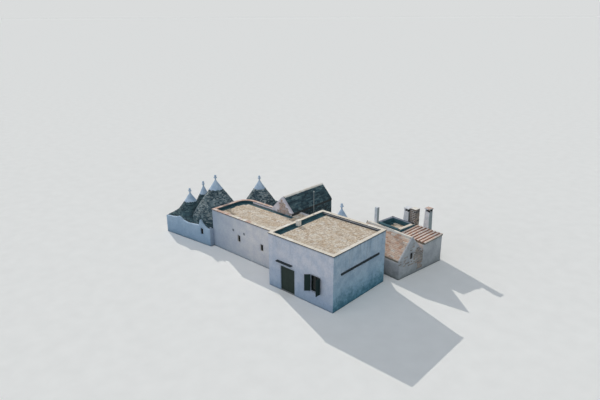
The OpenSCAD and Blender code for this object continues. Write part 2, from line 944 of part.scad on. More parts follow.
module cone_rear() {
    color("gray") site() coneShell(rear_at, cone4_r, cone4_h, low_bed_top, cap_h);
}

module cone_yard() {
    color("gray") site() coneShell(yard_at, cone5_r, cone5_h, low_bed_top, cap_h);
}

module cone_caps() {
    color("white") site() {
        coneCap(cone1_at, cone1_r, cone1_h, bed_top, cap_h);
        coneCap(cone2_at, cone2_r, cone2_h, bed_top, big_cap_h);
        coneCap(cone3_at, cone3_r, cone3_h, bed_top, cap_h);
        coneCap(rear_at, cone4_r, cone4_h, low_bed_top, cap_h);
        coneCap(yard_at, cone5_r, cone5_h, low_bed_top, cap_h);
    }
}

module pinnacles() {
    color("white") site() {
        pinnacle(cone1_at, cone1_h, bed_top);
        pinnacle(cone2_at, cone2_h, bed_top);
        pinnacle(cone3_at, cone3_h, bed_top);
        pinnacle(rear_at, cone4_h, low_bed_top);
        pinnacle(yard_at, cone5_h, low_bed_top);
    }
}

// Square walls of a trullo with the stone bed that carries its cone
module trulloWalls(x0, y0, x1, y1, at, r) {
    difference() {
        box(x0, y0, 0, x1, y1, low_bed_top);
        box(x0 + trullo_t, y0 + trullo_t, -over, x1 - trullo_t, y1 - trullo_t, low_wall_h);
        translate([at[0], at[1], 0]) cylinder(h = low_bed_top + over, r = r - shell_t);
    }
}

module rear_trullo_walls() {
    h = rear_side / 2;
    color("white") site()
        trulloWalls(rear_at[0] - h, rear_at[1] - h, rear_at[0] + h, rear_at[1] + h, rear_at, cone4_r);
}

module yard_trullo_walls() {
    color("white") site() trulloWalls(yard_left, yard_front, yard_right, yard_rear, yard_at, cone5_r);
}

module gable_house_walls() {
    top = mid_h + gable_rise - gable_roof_t;
    color("white") site() for (side = [-1, 1])
        alongGable(mid_rear, gable_rear - gable_t)
            wallSection(side, gable_w / 2, gable_t, gable_pitch, top);
}

module gable_house_gables() {
    ridge = mid_h + gable_rise;
    color("white") site() {
        alongGable(mid_rear - gable_front_t, mid_rear)
            underSection(gable_w / 2, gable_pitch, ridge, mid_deck);
        alongGable(gable_rear - gable_t, gable_rear)
            underSection(gable_w / 2, gable_pitch, ridge - gable_roof_t, 0);
    }
}

module gable_house_roof() {
    color("dimgray") site() alongGable(mid_rear, gable_rear + coping_over)
        roofSection(gable_w / 2, gable_pitch, mid_h + gable_rise, gable_roof_t);
}

module side_wing_walls() {
    color("white") site() rightOfYard() for (side = [-1, 1])
        alongSide(-side_pull, side_l - side_t)
            wallSection(side, side_half, side_t, side_pitch, side_ridge - side_roof_t);
}

module side_wing_gables() {
    color("white") site() {
        difference() {
            union() {
                alongSide(side_l - side_t, side_l)
                    underSection(side_half, side_pitch, side_ridge - side_roof_t, 0);
                alongSide(side_l - verge_t, side_l)
                    underSection(side_half, side_pitch, side_ridge + verge_rise, side_eaves / 2);
            }
            onSide() box(side_l - side_t - over, -loop_w / 2, loop_z, side_l + over, loop_w / 2,
                loop_z + loop_h);
        }
        intersection() {
            box(yard_right, main_d, 0, yard_right + side_t, main_d + 2 * side_l, 2 * side_ridge);
            alongSide(-side_pull, side_l)
                underSection(side_half - side_t, side_pitch, side_ridge - side_roof_t, 0);
        }
    }
}

module side_wing_roof() {
    color("rosybrown") site() rightOfYard() alongSide(-side_pull, side_l - verge_t)
        roofSection(side_half, side_pitch, side_ridge, side_roof_t);
}

// Cross-section of the tiled annex below its roof
module annexSection() {
    polygon([[side_half, 0], [side_half, annex_h - tile_t], [annex_y1, annex_h + annex_rise - tile_t],
        [annex_y1, 0]]);
}

module annex_walls() {
    t = annex_t;
    color("white") site() {
        difference() {
            union() {
                onSide() box(terrace_x, side_half, 0, annex_x, terrace_y1, terrace_h);
                alongSide(annex_x - over, side_l) annexSection();
            }
            onSide() {
                box(terrace_x + t, side_half + t, -over, annex_x - t, terrace_y1 - t, terrace_h + over);
                box(annex_x, side_half + t, -over, side_l - t, annex_in, terrace_h);
            }
        }
    }
}

module annex_roof() {
    t = annex_t;
    color("rosybrown") site() {
        onSide() box(terrace_x + t, side_half + t, terrace_floor - slab_t, annex_x - t,
            terrace_y1 - t, terrace_floor);
        alongSide(annex_x, side_l + tile_over) polygon([
            [side_half, annex_h - tile_t], [side_half, annex_h],
            [annex_y1, annex_h + annex_rise], [annex_y1, annex_h + annex_rise - tile_t]]);
    }
}

// Square stack that narrows from w to top_w, with a slab cap on four posts
module stack(u, v, w, top_w, h) {
    post = 120;
    gap = 220;
    cap = 90;
    lip = 40;
    body = h - gap - cap;
    onSide() translate([u + w / 2, v + w / 2, 0]) {
        intersection() {
            stackFace(w, top_w, body);
            rotate([0, 0, 90]) stackFace(w, top_w, body);
        }
        for (x = [-1, 1], y = [-1, 1])
            translate([x * (top_w - post) / 2 - post / 2, y * (top_w - post) / 2 - post / 2, body - over])
                cube([post, post, gap + 2 * over]);
        translate([-top_w / 2 - lip, -top_w / 2 - lip, h - cap])
            cube([top_w + 2 * lip, top_w + 2 * lip, cap]);
    }
}

module stackFace(w, top_w, h) {
    translate([0, w, 0]) rotate([90, 0, 0]) linear_extrude(2 * w)
        polygon([[-w / 2, 0], [w / 2, 0], [w / 2, h * 0.5], [top_w / 2, h], [-top_w / 2, h],
            [-w / 2, h * 0.5]]);
}

module chimneys() {
    color("white") site() {
        stack(oven_u, annex_y1, oven_w, oven_w * stack_taper, oven_h);
        stack(stack_u, terrace_y1, stack_w, stack_w * stack_taper, stack_h);
        onSide() box(stub_u, terrace_y1, 0, stub_u + stub_w, terrace_y1 + stub_w, stub_h);
        difference() {
            onSide() translate([pillar_u, pillar_v, side_eaves])
                cube([pillar_w, pillar_w, pillar_h - side_eaves]);
            alongSide(0, side_l) underSection(side_half, side_pitch, side_ridge, 0);
        }
    }
}

floors();
main_wall_front_left();
main_wall_over_door();
main_wall_front_right();
main_wall_right();
main_wall_back();
main_wall_left();
main_roof();
main_parapet();
main_coping();
roof_mast();
door_canopy();
side_ledge();
door_frame();
door_leaf_left();
door_leaf_right();
window_frame();
window_panes();
window_shutters();
window_sill();
middle_wall_front();
middle_wall_left();
middle_wall_back();
middle_roof();
middle_parapet();
middle_coping();
niche_windows();
link_walls();
wing_wall_front();
wing_wall_left();
wing_wall_back();
wing_wall_right();
wing_bed();
cone_front();
cone_big();
cone_small();
cone_rear();
cone_yard();
cone_caps();
pinnacles();
rear_trullo_walls();
yard_trullo_walls();
gable_house_walls();
gable_house_gables();
gable_house_roof();
side_wing_walls();
side_wing_gables();
side_wing_roof();
annex_walls();
annex_roof();
chimneys();
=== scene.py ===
import math
import random

import bmesh
import bpy
import numpy as np
from mathutils import Euler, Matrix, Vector


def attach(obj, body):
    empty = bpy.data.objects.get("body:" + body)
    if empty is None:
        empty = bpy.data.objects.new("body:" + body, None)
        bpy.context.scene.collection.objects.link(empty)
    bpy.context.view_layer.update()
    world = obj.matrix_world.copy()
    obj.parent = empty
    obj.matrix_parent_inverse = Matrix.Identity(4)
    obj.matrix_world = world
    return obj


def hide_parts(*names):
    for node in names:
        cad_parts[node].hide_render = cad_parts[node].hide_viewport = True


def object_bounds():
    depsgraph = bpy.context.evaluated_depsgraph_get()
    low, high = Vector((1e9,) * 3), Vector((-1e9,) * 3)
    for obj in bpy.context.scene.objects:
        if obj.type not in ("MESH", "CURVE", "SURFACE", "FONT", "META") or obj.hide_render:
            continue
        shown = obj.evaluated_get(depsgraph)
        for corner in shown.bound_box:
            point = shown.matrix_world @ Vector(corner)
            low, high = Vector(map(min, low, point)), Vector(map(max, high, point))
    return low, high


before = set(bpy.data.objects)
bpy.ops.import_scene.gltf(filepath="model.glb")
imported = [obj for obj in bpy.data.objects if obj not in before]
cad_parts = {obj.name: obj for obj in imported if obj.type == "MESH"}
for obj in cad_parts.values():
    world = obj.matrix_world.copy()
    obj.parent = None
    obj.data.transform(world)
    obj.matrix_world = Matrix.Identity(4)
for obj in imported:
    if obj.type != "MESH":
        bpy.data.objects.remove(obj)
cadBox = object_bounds()
scene = bpy.context.scene
chance = random.Random(41)
draw = chance.uniform

# Places are measured from the front left corner of the main block, in metres.
# The model's origin is in the middle of the main room, so points are shifted when a piece is made.
toOrigin = np.array([3.29, 3.29, 0.0])
# No piece reaches past the box of the frame
cadLow, cadHigh = np.array(cadBox[0]), np.array(cadBox[1])


# Frames that stand at an angle to the main block

sideFrame = {"turn": math.radians(-7.4), "foot": (2.70, 9.72, 0.0)}  # rear wing: u along its ridge
wingFrame = {"turn": math.atan2(0.52, 6.25), "foot": (-15.65, 0.93, 0.0)}  # front of the trullo wing


def turned(points, frameOf):
    p = np.asarray(points, dtype=float).reshape(-1, 3)
    c, s = math.cos(frameOf["turn"]), math.sin(frameOf["turn"])
    return np.stack([p[:, 0] * c - p[:, 1] * s, p[:, 0] * s + p[:, 1] * c, p[:, 2]], axis=1) + frameOf["foot"]


def onSide(points):
    return turned(points, sideFrame)


def onWing(points):
    return turned(points, wingFrame)


def straight(points):
    return np.asarray(points, dtype=float).reshape(-1, 3)


# Smooth random field between -1 and 1, with features of the given size
def softNoise(points, size, seed):
    p = straight(points) / size + seed * 13.7
    cell = np.floor(p).astype(np.int64)
    part = p - cell
    part = part * part * (3 - 2 * part)
    total = np.zeros(len(p))
    for dx, dy, dz in [(x, y, z) for x in (0, 1) for y in (0, 1) for z in (0, 1)]:
        mixed = (cell[:, 0] + dx) * 374761393 + (cell[:, 1] + dy) * 668265263 + (cell[:, 2] + dz) * 1440662683
        mixed = (mixed ^ (mixed >> 13)) * 1274126177
        value = ((mixed ^ (mixed >> 16)) & 65535) / 32767.5 - 1
        wx = part[:, 0] if dx else 1 - part[:, 0]
        wy = part[:, 1] if dy else 1 - part[:, 1]
        wz = part[:, 2] if dz else 1 - part[:, 2]
        total += value * wx * wy * wz
    return total


# Points, faces, material numbers and tones, gathered until they become one object
class Heap:
    def __init__(self):
        self.points, self.faces, self.mats, self.tones = [], [], [], []
        self.count = 0

    def add(self, points, faces, mat=0, tone=0.5):
        points = straight(points)
        self.points.append(points)
        self.faces += [tuple(i + self.count for i in face) for face in faces]
        self.mats += mat if isinstance(mat, list) else [mat] * len(faces)
        self.tones += [tone] * len(faces)
        self.count += len(points)


def makePiece(name, heap, materials, slot, body="house", replaces=(), weld=0.0, smooth=False, outward=True,
              worn=0.0):
    mesh = bpy.data.meshes.new(name)
    points = np.clip(np.concatenate(heap.points) - toOrigin, cadLow, cadHigh)
    mesh.from_pydata(points.tolist(), [], heap.faces)
    for material in materials:
        mesh.materials.append(material)
    mesh.polygons.foreach_set("material_index", heap.mats)
    mesh.attributes.new("tone", "FLOAT", "FACE").data.foreach_set("value", heap.tones)
    form = bmesh.new()
    form.from_mesh(mesh)
    if weld:
        bmesh.ops.remove_doubles(form, verts=form.verts, dist=weld)
        bmesh.ops.dissolve_degenerate(form, edges=form.edges, dist=weld)
    if outward:
        bmesh.ops.recalc_face_normals(form, faces=form.faces)
    form.to_mesh(mesh)
    form.free()
    mesh.polygons.foreach_set("use_smooth", [smooth] * len(mesh.polygons))
    mesh.update()
    piece = bpy.data.objects.new(name, mesh)
    scene.collection.objects.link(piece)
    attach(piece, body)
    if replaces:
        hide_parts(*replaces)
    if worn:
        wear = piece.modifiers.new("worn edges", "BEVEL")
        wear.width = worn
        wear.segments = 1
        wear.limit_method = "NONE"
    print("made", name, len(mesh.polygons))


def gridLines(start, end, step, cuts=()):
    marks = [start] + sorted({c for c in cuts if start + 1e-4 < c < end - 1e-4}) + [end]
    lines = []
    for a, b in zip(marks, marks[1:]):
        n = max(1, round((b - a) / step))
        lines += [a + (b - a) * i / n for i in range(n)]
    return lines + [end]


# Materials

def linear(code):
    parts = [int(code[i:i + 2], 16) / 255 for i in (1, 3, 5)]
    return tuple(c / 12.92 if c <= 0.04045 else ((c + 0.055) / 1.055) ** 2.4 for c in parts) + (1.0,)


# Adds a node and gives its first output; sockets among the values are linked, the rest are set
def addNode(tree, kind, values):
    node = tree.nodes.new("ShaderNode" + kind)
    for key, value in values.items():
        if isinstance(value, bpy.types.NodeSocket):
            tree.links.new(value, node.inputs[key])
        elif isinstance(key, int) or key in node.inputs:
            node.inputs[key].default_value = value
        else:
            setattr(node, key, value)
    return node.outputs[0] if node.outputs else None


def newMaterial(name, roughness, ior=1.5, metallic=0.0):
    material = bpy.data.materials.new(name)
    material.use_nodes = True
    tree = material.node_tree
    tree.nodes.clear()
    surface = addNode(tree, "BsdfPrincipled", {"Roughness": roughness, "IOR": ior, "Metallic": metallic})
    addNode(tree, "OutputMaterial", {"Surface": surface})
    return material, tree, surface.node.inputs, addNode(tree, "TexCoord", {}).node.outputs["Object"]


def blend(tree, factor, low, high, how="MIX"):
    low, high = [linear(c) if isinstance(c, str) else c for c in (low, high)]
    values = {"data_type": "RGBA", "blend_type": how, 0: factor, 6: low, 7: high}
    return addNode(tree, "Mix", values).node.outputs[2]


def stops(tree, factor, *marks):
    colour = addNode(tree, "ValToRGB", {"Fac": factor})
    elements = colour.node.color_ramp.elements
    while len(elements) < len(marks):
        elements.new(0.5)
    for element, (at, code) in zip(elements, marks):
        element.position = at
        element.color = linear(code) if isinstance(code, str) else (code, code, code, 1)
    return colour


# Joins a colour and its relief to the shader; a relief is a height, its strength and its depth in metres
def joinFinish(tree, shader, colour, *reliefs):
    tree.links.new(colour, shader["Base Color"])
    normal = {}
    for height, strength, depth in reliefs:
        bump = addNode(tree, "Bump", {"Strength": strength, "Distance": depth, "Height": height, **normal})
        normal = {"Normal": bump}
    tree.links.new(bump, shader["Normal"])


# Limewash over rubble masonry: brushed on by hand, so matt, a little blotchy and softly uneven, with rain
# streaks below the coping and damp marks above the ground. Its four colours are the wash, its blotches,
# the rain's stain and the damp; heights are in metres
limeLook = {"low": "#FFFFFF", "foot": 0.0, "fall": 1.0, "top": 5.4, "run": 1.6, "streaks": 0.4, "edge": 0.1,
            "damp": 0.5, "mould": 0.3}


def limewash(name, colours, **changes):
    look = {**limeLook, **changes}
    base, shade, stain, dirt = colours.split()
    top, damp = look["top"], look["damp"]
    material, tree, shader, place = newMaterial(name, 0.88, 1.45)
    broad = addNode(tree, "TexNoise", {"Vector": place, "Scale": 1.3, "Detail": 6.0, "Roughness": 0.65})
    colour = stops(tree, broad, (0.38, shade), (0.6, base))
    axes = addNode(tree, "SeparateXYZ", {0: place}).node.outputs
    height = axes["Z"]
    # a soft fall in tone towards the low colour, from about head height to the ground
    fall = addNode(tree, "MapRange", {0: height, 1: look["foot"], 2: look["fall"], 3: 1.0, 4: 0.0})
    colour = blend(tree, fall, colour, look["low"], "MULTIPLY")
    # painted shade: from one end along x the wash is tinted bluer, for a wall that gets less light there
    if "far" in look:
        start, end, tint = look["far"]
        along = addNode(tree, "MapRange", {0: axes["X"], 1: start, 2: end, 3: 1.0, 4: 0.0})
        colour = blend(tree, along, colour, tint, "MULTIPLY")
    # brush strokes 60 to 90 mm wide, drawn a little coarser than the bristles
    brush = addNode(tree, "TexNoise", {"Vector": place, "Scale": 9.0, "Detail": 4.0, "Roughness": 0.65})
    colour = blend(tree, 0.8, colour, stops(tree, brush, (0.35, 0.86), (0.65, 1.0)), "MULTIPLY")
    # rain streaks: 100 to 300 mm wide and a metre or more long
    drawn = addNode(tree, "Mapping", {"Vector": place, "Scale": (3.1, 3.1, 0.42)})
    streak = addNode(tree, "TexNoise", {"Vector": drawn, "Scale": 1.0, "Detail": 6.0, "Roughness": 0.62})
    below = addNode(tree, "MapRange", {0: height, 1: top - look["run"], 2: top, 4: look["streaks"]})
    amount = stops(tree, streak, (0.48, 0.0), (0.8, 1.0))
    amount = addNode(tree, "Math", {"operation": "MULTIPLY", 0: below, 1: amount})
    colour = blend(tree, amount, colour, stain)
    # a dark line right below the coping: painted shadow of the coping's overhang, with some drip stain
    edge = addNode(tree, "MapRange", {0: height, 1: top - 0.16, 2: top - 0.02, 4: look["edge"]})
    colour = blend(tree, edge, colour, stain)
    # damp and mould, cloudy, up to about a metre and a half
    cloud = addNode(tree, "TexNoise", {"Vector": place, "Scale": 2.3, "Detail": 8.0, "Roughness": 0.75})
    near = addNode(tree, "MapRange", {0: height, 1: damp, 2: 0.0, 4: 0.42})
    both = addNode(tree, "Math", {"operation": "ADD", 0: cloud, 1: near})
    rise = addNode(tree, "MapRange", {0: height, 1: damp * 1.15, 2: damp * 0.3, 4: look["mould"]})
    amount = stops(tree, both, (0.66, 0.0), (0.9, 0.85))
    amount = addNode(tree, "Math", {"operation": "MULTIPLY", 0: amount, 1: rise})
    colour = blend(tree, amount, colour, dirt)
    # trowelled humps about 250 mm across, then the grain of the lime, both drawn coarser than life
    hump = addNode(tree, "TexNoise", {"Vector": place, "Scale": 4.0, "Detail": 3.0})
    grain = addNode(tree, "TexNoise", {"Vector": place, "Scale": 38.0, "Detail": 4.0, "Roughness": 0.7})
    joinFinish(tree, shader, colour, (hump, 0.55, 0.02), (grain, 0.4, 0.006))
    return material


# The washes carry a faint blue-lavender tint that is partly painted shade
limeMain = limewash("LimewashMainBlock", "#EBEAF4 #D6DBEA #8794A2 #7C94A6", low="#BED2E2", fall=3.2,
    top=4.55, run=2.4, streaks=0.35, edge=0.7, damp=1.3, mould=0.35)
# Painted shade: a darker, bluer copy of the main block's wash for the sides that face away from the sun,
# darker and more teal towards the ground
limeShade = limewash("LimewashShadedSides", "#DCE9F8 #BCD0E4 #5E7688 #33697A", low="#A6D6E2", fall=2.6,
    top=4.55, run=2.2, streaks=0.75, edge=0.7, damp=2.3, mould=0.85)
# Painted shade: the middle block's wash turns bluer towards its left end, the wing's over nearly all its
# length
limeMiddle = limewash("LimewashMiddleBlock", "#F5F0F1 #E7E4EA #98A2AB #94A8B6", low="#E2E6EA", fall=2.2,
    far=(-12.7, -7.5, "#C4D4E4"), top=3.63, streaks=0.3, edge=0.6, damp=0.9, mould=0.35)
limeWing = limewash("LimewashTrulloWing", "#E6E6EC #D2D8E2 #8696A2 #7E98AA", low="#D2DCE4", fall=1.6,
    far=(-10.7, -9.6, "#CEE6F8"), top=2.2, run=1.2, edge=0.2, damp=0.8, mould=0.5)
limeRear = limewash("LimewashRearRooms", "#E2E0E2 #C9C8CC #868C90 #7C8280", low="#D8DADC", fall=2.4,
    top=3.3, run=1.5, streaks=0.45, damp=1.2, mould=0.55)
# Painted shade: a dark teal wash for parapet faces that stand in deep shade
limeShadowed = limewash("LimewashPaintedShade", "#3C6672 #29505C #18343D #20404A", streaks=0.7)
# A grey wash for the terrace's rear and left parapet tops and the collars round the vents
limeGrey = limewash("LimewashGreyTops", "#848D9C #66727F #3C4A52 #46545C", streaks=0.7)
limeGable = limewash("LimewashGableHouse", "#E4DFE6 #D0CBD4 #8F9294 #8B8F90", low="#D0D4D8", fall=2.4,
    top=4.9, run=1.2, damp=1.4, mould=0.6)
# Inner faces of the low parapets: clean above, darker in a narrow band at the foot where they meet the roof.
# The main block's are grey all over, painted shade
limeParapet = limewash("LimewashParapetMiddle", "#F2ECF2 #DFDAE6 #2C434C #2C434C", low="#3E5661", foot=3.44,
    fall=3.47, run=0.4, streaks=0.2, edge=0.0, mould=0.0)
limeParapetMain = limewash("LimewashParapetMain", "#A8A8AC #8E9298 #2C434C #2C434C", low="#3E5661",
    foot=4.43, fall=4.47, run=0.4, streaks=0.2, edge=0.0, mould=0.0)


# Lime plaster trowelled smooth: the caps, pinnacles and chimneys, washed grey where rain runs
def limePlaster(name, base, shade, stain, wash, shadeTint=None):
    material, tree, shader, place = newMaterial(name, 0.8, 1.45)
    broad = addNode(tree, "TexNoise", {"Vector": place, "Scale": 2.2, "Detail": 5.0, "Roughness": 0.6})
    drawn = addNode(tree, "Mapping", {"Vector": place, "Scale": (9.0, 9.0, 1.6)})
    streak = addNode(tree, "TexNoise", {"Vector": drawn, "Scale": 1.0, "Detail": 6.0, "Roughness": 0.65})
    colour = stops(tree, broad, (0.35, shade), (0.6, base))
    colour = blend(tree, stops(tree, streak, (0.48, 0.0), (0.75, wash)), colour, stain)
    if shadeTint:
        # painted shade: a green-grey on the faces that look away from the sun
        way = addNode(tree, "NewGeometry", {}).node.outputs["Normal"]
        facing = addNode(tree, "VectorMath", {"operation": "DOT_PRODUCT", 0: way, 1: (0.94, 0.34, 0.0)})
        amount = addNode(tree, "MapRange", {0: facing.node.outputs["Value"], 1: 0.45, 2: 0.85, 4: 0.7})
        colour = blend(tree, amount, colour, shadeTint)
    hump = addNode(tree, "TexNoise", {"Vector": place, "Scale": 11.0, "Detail": 4.0})
    joinFinish(tree, shader, colour, (hump, 0.5, 0.012))
    return material


# painted shade: the caps and pinnacles are tinted blue, for their shaded side
capPlaster = limePlaster("LimePlasterCaps", "#C0D1E4", "#A0B9D2", "#7F95A6", 0.4)
stackPlaster = limePlaster("LimePlasterChimneys", "#F4F4F8", "#DCE2E8", "#8C989E", 0.35, "#77898A")
roomPlaster = limePlaster("LimePlasterRooms", "#E9E7E1", "#DDDAD2", "#C9C5BB", 0.3)

# Split or sawn limestone: each stone has its own tone, with dirt and lichen lying over several stones.
# "patch" is the size in metres of the dirty areas, "spot" that of the lichen
stoneLook = {"roughness": 0.85, "grain": 20.0, "dark": 0.75, "patch": 0.5, "stained": 0.5, "spot": 0.08,
             "lichened": 0.4, "bump": 0.4}


def limestone(name, tones, dirt, lichen, **changes):
    look = {**stoneLook, **changes}
    material, tree, shader, place = newMaterial(name, look["roughness"], 1.55)
    tone = addNode(tree, "Attribute", {"attribute_name": "tone"}).node.outputs["Fac"]
    codes = tones.split()
    colour = stops(tree, tone, *[((i + 0.5) / len(codes), code) for i, code in enumerate(codes)])
    grain = addNode(tree, "TexNoise",
                    {"Vector": place, "Scale": look["grain"], "Detail": 6.0, "Roughness": 0.7})
    colour = blend(tree, 1.0, colour, stops(tree, grain, (0.3, look["dark"]), (0.68, 1.0)), "MULTIPLY")
    for size, detail, rough, start, share, tint in (
            (look["patch"], 7.0, 0.65, 0.46, look["stained"], dirt),
            (look["spot"], 5.0, 0.75, 0.58, look["lichened"], lichen)):
        cloud = addNode(tree, "TexNoise",
                        {"Vector": place, "Scale": 1 / size, "Detail": detail, "Roughness": rough})
        colour = blend(tree, stops(tree, cloud, (start, 0.0), (0.68, share)), colour, tint)
    joinFinish(tree, shader, colour, (grain, look["bump"], 0.01))
    return material


# Hand-split roof slabs, never dressed: rough, grey with black and pale lichen, the tones tinted darker and
# bluer as painted shade
roofStone = limestone("DryStoneSplit", "#334854 #516975 #71878F #A0AEB2 #415863 #82959C #BAC3C3", "#233841",
    "#B6BEBC", roughness=0.92, grain=22.0, dark=0.6, patch=1.2, stained=0.7, spot=0.13, bump=0.6)
# Painted shade: a darker, bluer copy of the split slabs, for the front and small cones, the others' low
# courses, the beds, the fill and the gable house's roof and side wall
darkStone = limestone("DryStoneShaded", "#263E49 #36535F #47666F #5F7B82 #2E4853 #6C858A", "#1A2C34",
    "#7D8F92", roughness=0.94, grain=22.0, dark=0.6, patch=1.1, stained=0.6, spot=0.13, lichened=0.25,
    bump=0.6)
# Painted light: the rear wing's slabs are paler than their own colour, for the sun that falls on that slope
redStone = limestone("RoofSlabsReddened", "#F4D0B8 #FCE6D4 #E9C0A6 #FEF6EC #DDB096 #F8E2D0", "#C29A7E",
    "#FFFBF4", roughness=0.9, grain=18.0, dark=0.86, patch=0.22, stained=0.4, spot=0.12, lichened=0.75,
    bump=0.5)
# Sawn paving worn by rain: warm beige with fine brown, orange and white specks
pavingStone = limestone("LimestonePavingWorn", "#F0E0CA #FAEEDE #DCC6AC #FFF8EC #F2E2CC #E4CEB2 #FAF0E0",
    "#94704F", "#FFFFFA", grain=9.0, dark=0.56, patch=0.16, stained=0.8, spot=0.13, lichened=0.95)
# Painted shadow: the same paving, dark teal, in the strip beside a parapet where its shadow falls
pavingShadowed = limestone("LimestonePavingShadowed", "#20505C #2B5A66 #18444E #386672", "#10323C", "#44686E",
    roughness=0.8, grain=26.0, dark=0.72, patch=0.3, stained=0.6, spot=0.1, lichened=0.3)
copingStone = limestone("LimestoneCopingSawn", "#F2E8D8 #F8F0E4 #EADECC #FBF6EE", "#C6B8A4", "#A89C8A",
    roughness=0.8, grain=16.0, dark=0.88, stained=0.35, spot=0.07, lichened=0.5, bump=0.35)
ridgeMortar = limestone("RidgeLimeMortar", "#F6EEE2 #FCF7EF #EFE5D8", "#C9BCAA", "#FBF7F0", roughness=0.9,
    dark=0.9, stained=0.15, lichened=0.5)
# The edge faces of the copings, dark like the shade under their lip: painted shade, with some drip stain
dripStoneShaded = limestone("LimestoneDripEdgeShaded", "#3C3836 #46413D #33302F #4E4843", "#262322", "#6E675E",
    grain=18.0, stained=0.6, spot=0.07, bump=0.35)
# Near black: partly the slabs' own dark stone, partly painted shade
slabStoneShaded = limestone("StoneSlabDarkShaded", "#081E2A #0C2430 #061822 #102833", "#05121A", "#1C3440",
    dark=0.7, patch=0.4, stained=0.6, spot=0.06, lichened=0.3)
rubbleStone = limestone("RubbleLimestone", "#BCA999 #A79C94 #CDB6A6 #938B88 #BFA292 #A0968F", "#6F6D6C",
    "#DAD2C8", roughness=0.92, dark=0.68, bump=0.6)
stackStone = limestone("RubbleSooty", "#8C8078 #6E6A66 #A4978C #57585A #94847A #B4A698", "#3E4242",
    "#C8BEB2", roughness=0.92, dark=0.66, patch=0.4, stained=0.6, bump=0.6)
# Fired clay: matt, orange to pink; the tile rolls paler and the troughs darker, with painted light and shade
clayCoping = limestone("TerracottaCopingFired", "#D9B5A4 #E2C4B6 #CFA692 #E8D2C8 #DBBAAB #EADBD4",
    "#A08274", "#EDE4DD", grain=24.0, dark=0.8, stained=0.4, lichened=0.5, bump=0.3)
# painted shade, with some drip stain, on the edge faces of the terracotta copings
clayDripShaded = limestone("TerracottaDripEdgeShaded", "#533D35 #5E473E #47352F", "#2E2624", "#7E6C62", grain=24.0,
    lichened=0.3, bump=0.3)
# painted light: the rolls are near white, for the sun on them
clayRollLit = limestone("TerracottaTilePaintedLight", "#FBE4D6 #FEF1E8 #F6D8C6 #FEF5EE #FADFCE", "#DDBFAE",
    "#FEFAF6", grain=26.0, dark=0.88, patch=0.6, stained=0.25, spot=0.09, lichened=0.5, bump=0.3)
# the troughs are a deeper orange-brown, partly the clay's own colour and partly painted shade
clayTrough = limestone("TerracottaTileShadedTrough", "#9C6244 #AA7254 #8A5238 #B88062 #7E4A36", "#553628", "#B8957C",
    roughness=0.8, grain=26.0, dark=0.78, spot=0.09, lichened=0.3, bump=0.3)
# Lime mortar, the gaps between dry stones, sooty flues, also painted shade on the chimneys' right posts, and
# the polished floor
mortarBed = limestone("LimeMortarJoints", "#9C9282 #8F8676", "#6F6A5E", "#B9B2A4", roughness=0.95,
    grain=30.0, spot=0.05, lichened=0.3, bump=0.5)
gapDark = limestone("DryStoneGaps", "#363B3D #2D3234", "#22272A", "#4B4F4E", roughness=0.95, grain=25.0,
    dark=0.7, stained=0.6, spot=0.06, lichened=0.3, bump=0.6)
sootAndShadeStone = limestone("FlueSootAndShade", "#1C1E1F #242627", "#131415", "#33383A", roughness=0.95, grain=25.0,
    dark=0.7, patch=0.3, stained=0.6, spot=0.05, lichened=0.3)
floorStone = limestone("LimestoneFloorPolished", "#7E8284 #8A8E90", "#6A6E70", "#A6A8A8", roughness=0.5,
    grain=12.0, dark=0.86, patch=0.7, stained=0.4, spot=0.1, lichened=0.3, bump=0.2)

# Joinery paint brushed on softwood: satin, with the upright grain showing and the edges faded
def paintedWood(name, base, worn):
    material, tree, shader, place = newMaterial(name, 0.6)
    shader["Specular IOR Level"].default_value = 0.3
    drawn = addNode(tree, "Mapping", {"Vector": place, "Scale": (60.0, 60.0, 2.0)})
    grain = addNode(tree, "TexNoise", {"Vector": drawn, "Scale": 1.0, "Detail": 5.0, "Roughness": 0.6})
    fade = addNode(tree, "TexNoise", {"Vector": place, "Scale": 3.0, "Detail": 6.0, "Roughness": 0.7})
    colour = stops(tree, grain, (0.3, base), (0.75, worn))
    colour = blend(tree, stops(tree, fade, (0.48, 0.0), (0.72, 0.55)), colour, worn)
    joinFinish(tree, shader, colour, (grain, 0.35, 0.002))
    return material


greenPaint = paintedWood("SoftwoodPaintedGreen", "#061C1B", "#102C2B")
doorPaint = paintedWood("SoftwoodPaintedDoor", "#12201D", "#22342E")
# painted shade: the window's frame and glazing bars are near black, for the shade in the window's recess
framePaintShaded = paintedWood("SoftwoodPaintedShade", "#0B1413", "#17221F")
brownWood = paintedWood("ChestnutOiled", "#221C18", "#3B3029")

# Galvanised steel tube, drawn and hot-dipped: dull grey with a mottled spangle
steelTube, tree, shader, place = newMaterial("SteelTubeGalvanised", 0.5, metallic=0.7)
cells = addNode(tree, "TexVoronoi", {"Vector": place, "Scale": 45.0}).node.outputs
tree.links.new(stops(tree, cells["Color"], (0.2, "#7E878B"), (0.8, "#A2A9AB")), shader["Base Color"])
tree.links.new(stops(tree, cells["Distance"], (0.0, 0.4), (1.0, 0.6)), shader["Roughness"])

# Float glass in front of a dark room: mostly a dim reflection, with dust towards the edges
# painted shade: the glass is given a near black colour for the dim room behind it
clearGlass, tree, shader, place = newMaterial("FloatGlassDusty", 0.08, 1.52)
shader["Transmission Weight"].default_value = 0.4
shader["Specular IOR Level"].default_value = 0.1
dust = addNode(tree, "TexNoise", {"Vector": place, "Scale": 8.0, "Detail": 6.0, "Roughness": 0.7})
tree.links.new(stops(tree, dust, (0.3, "#0A1414"), (0.7, "#182424")), shader["Base Color"])
tree.links.new(stops(tree, dust, (0.4, 0.05), (0.7, 0.2)), shader["Roughness"])
print("materials ready")

# Shapes

def box(x0, y0, x1, y1):
    return [(x0, y0), (x1, y0), (x1, y1), (x0, y1)]


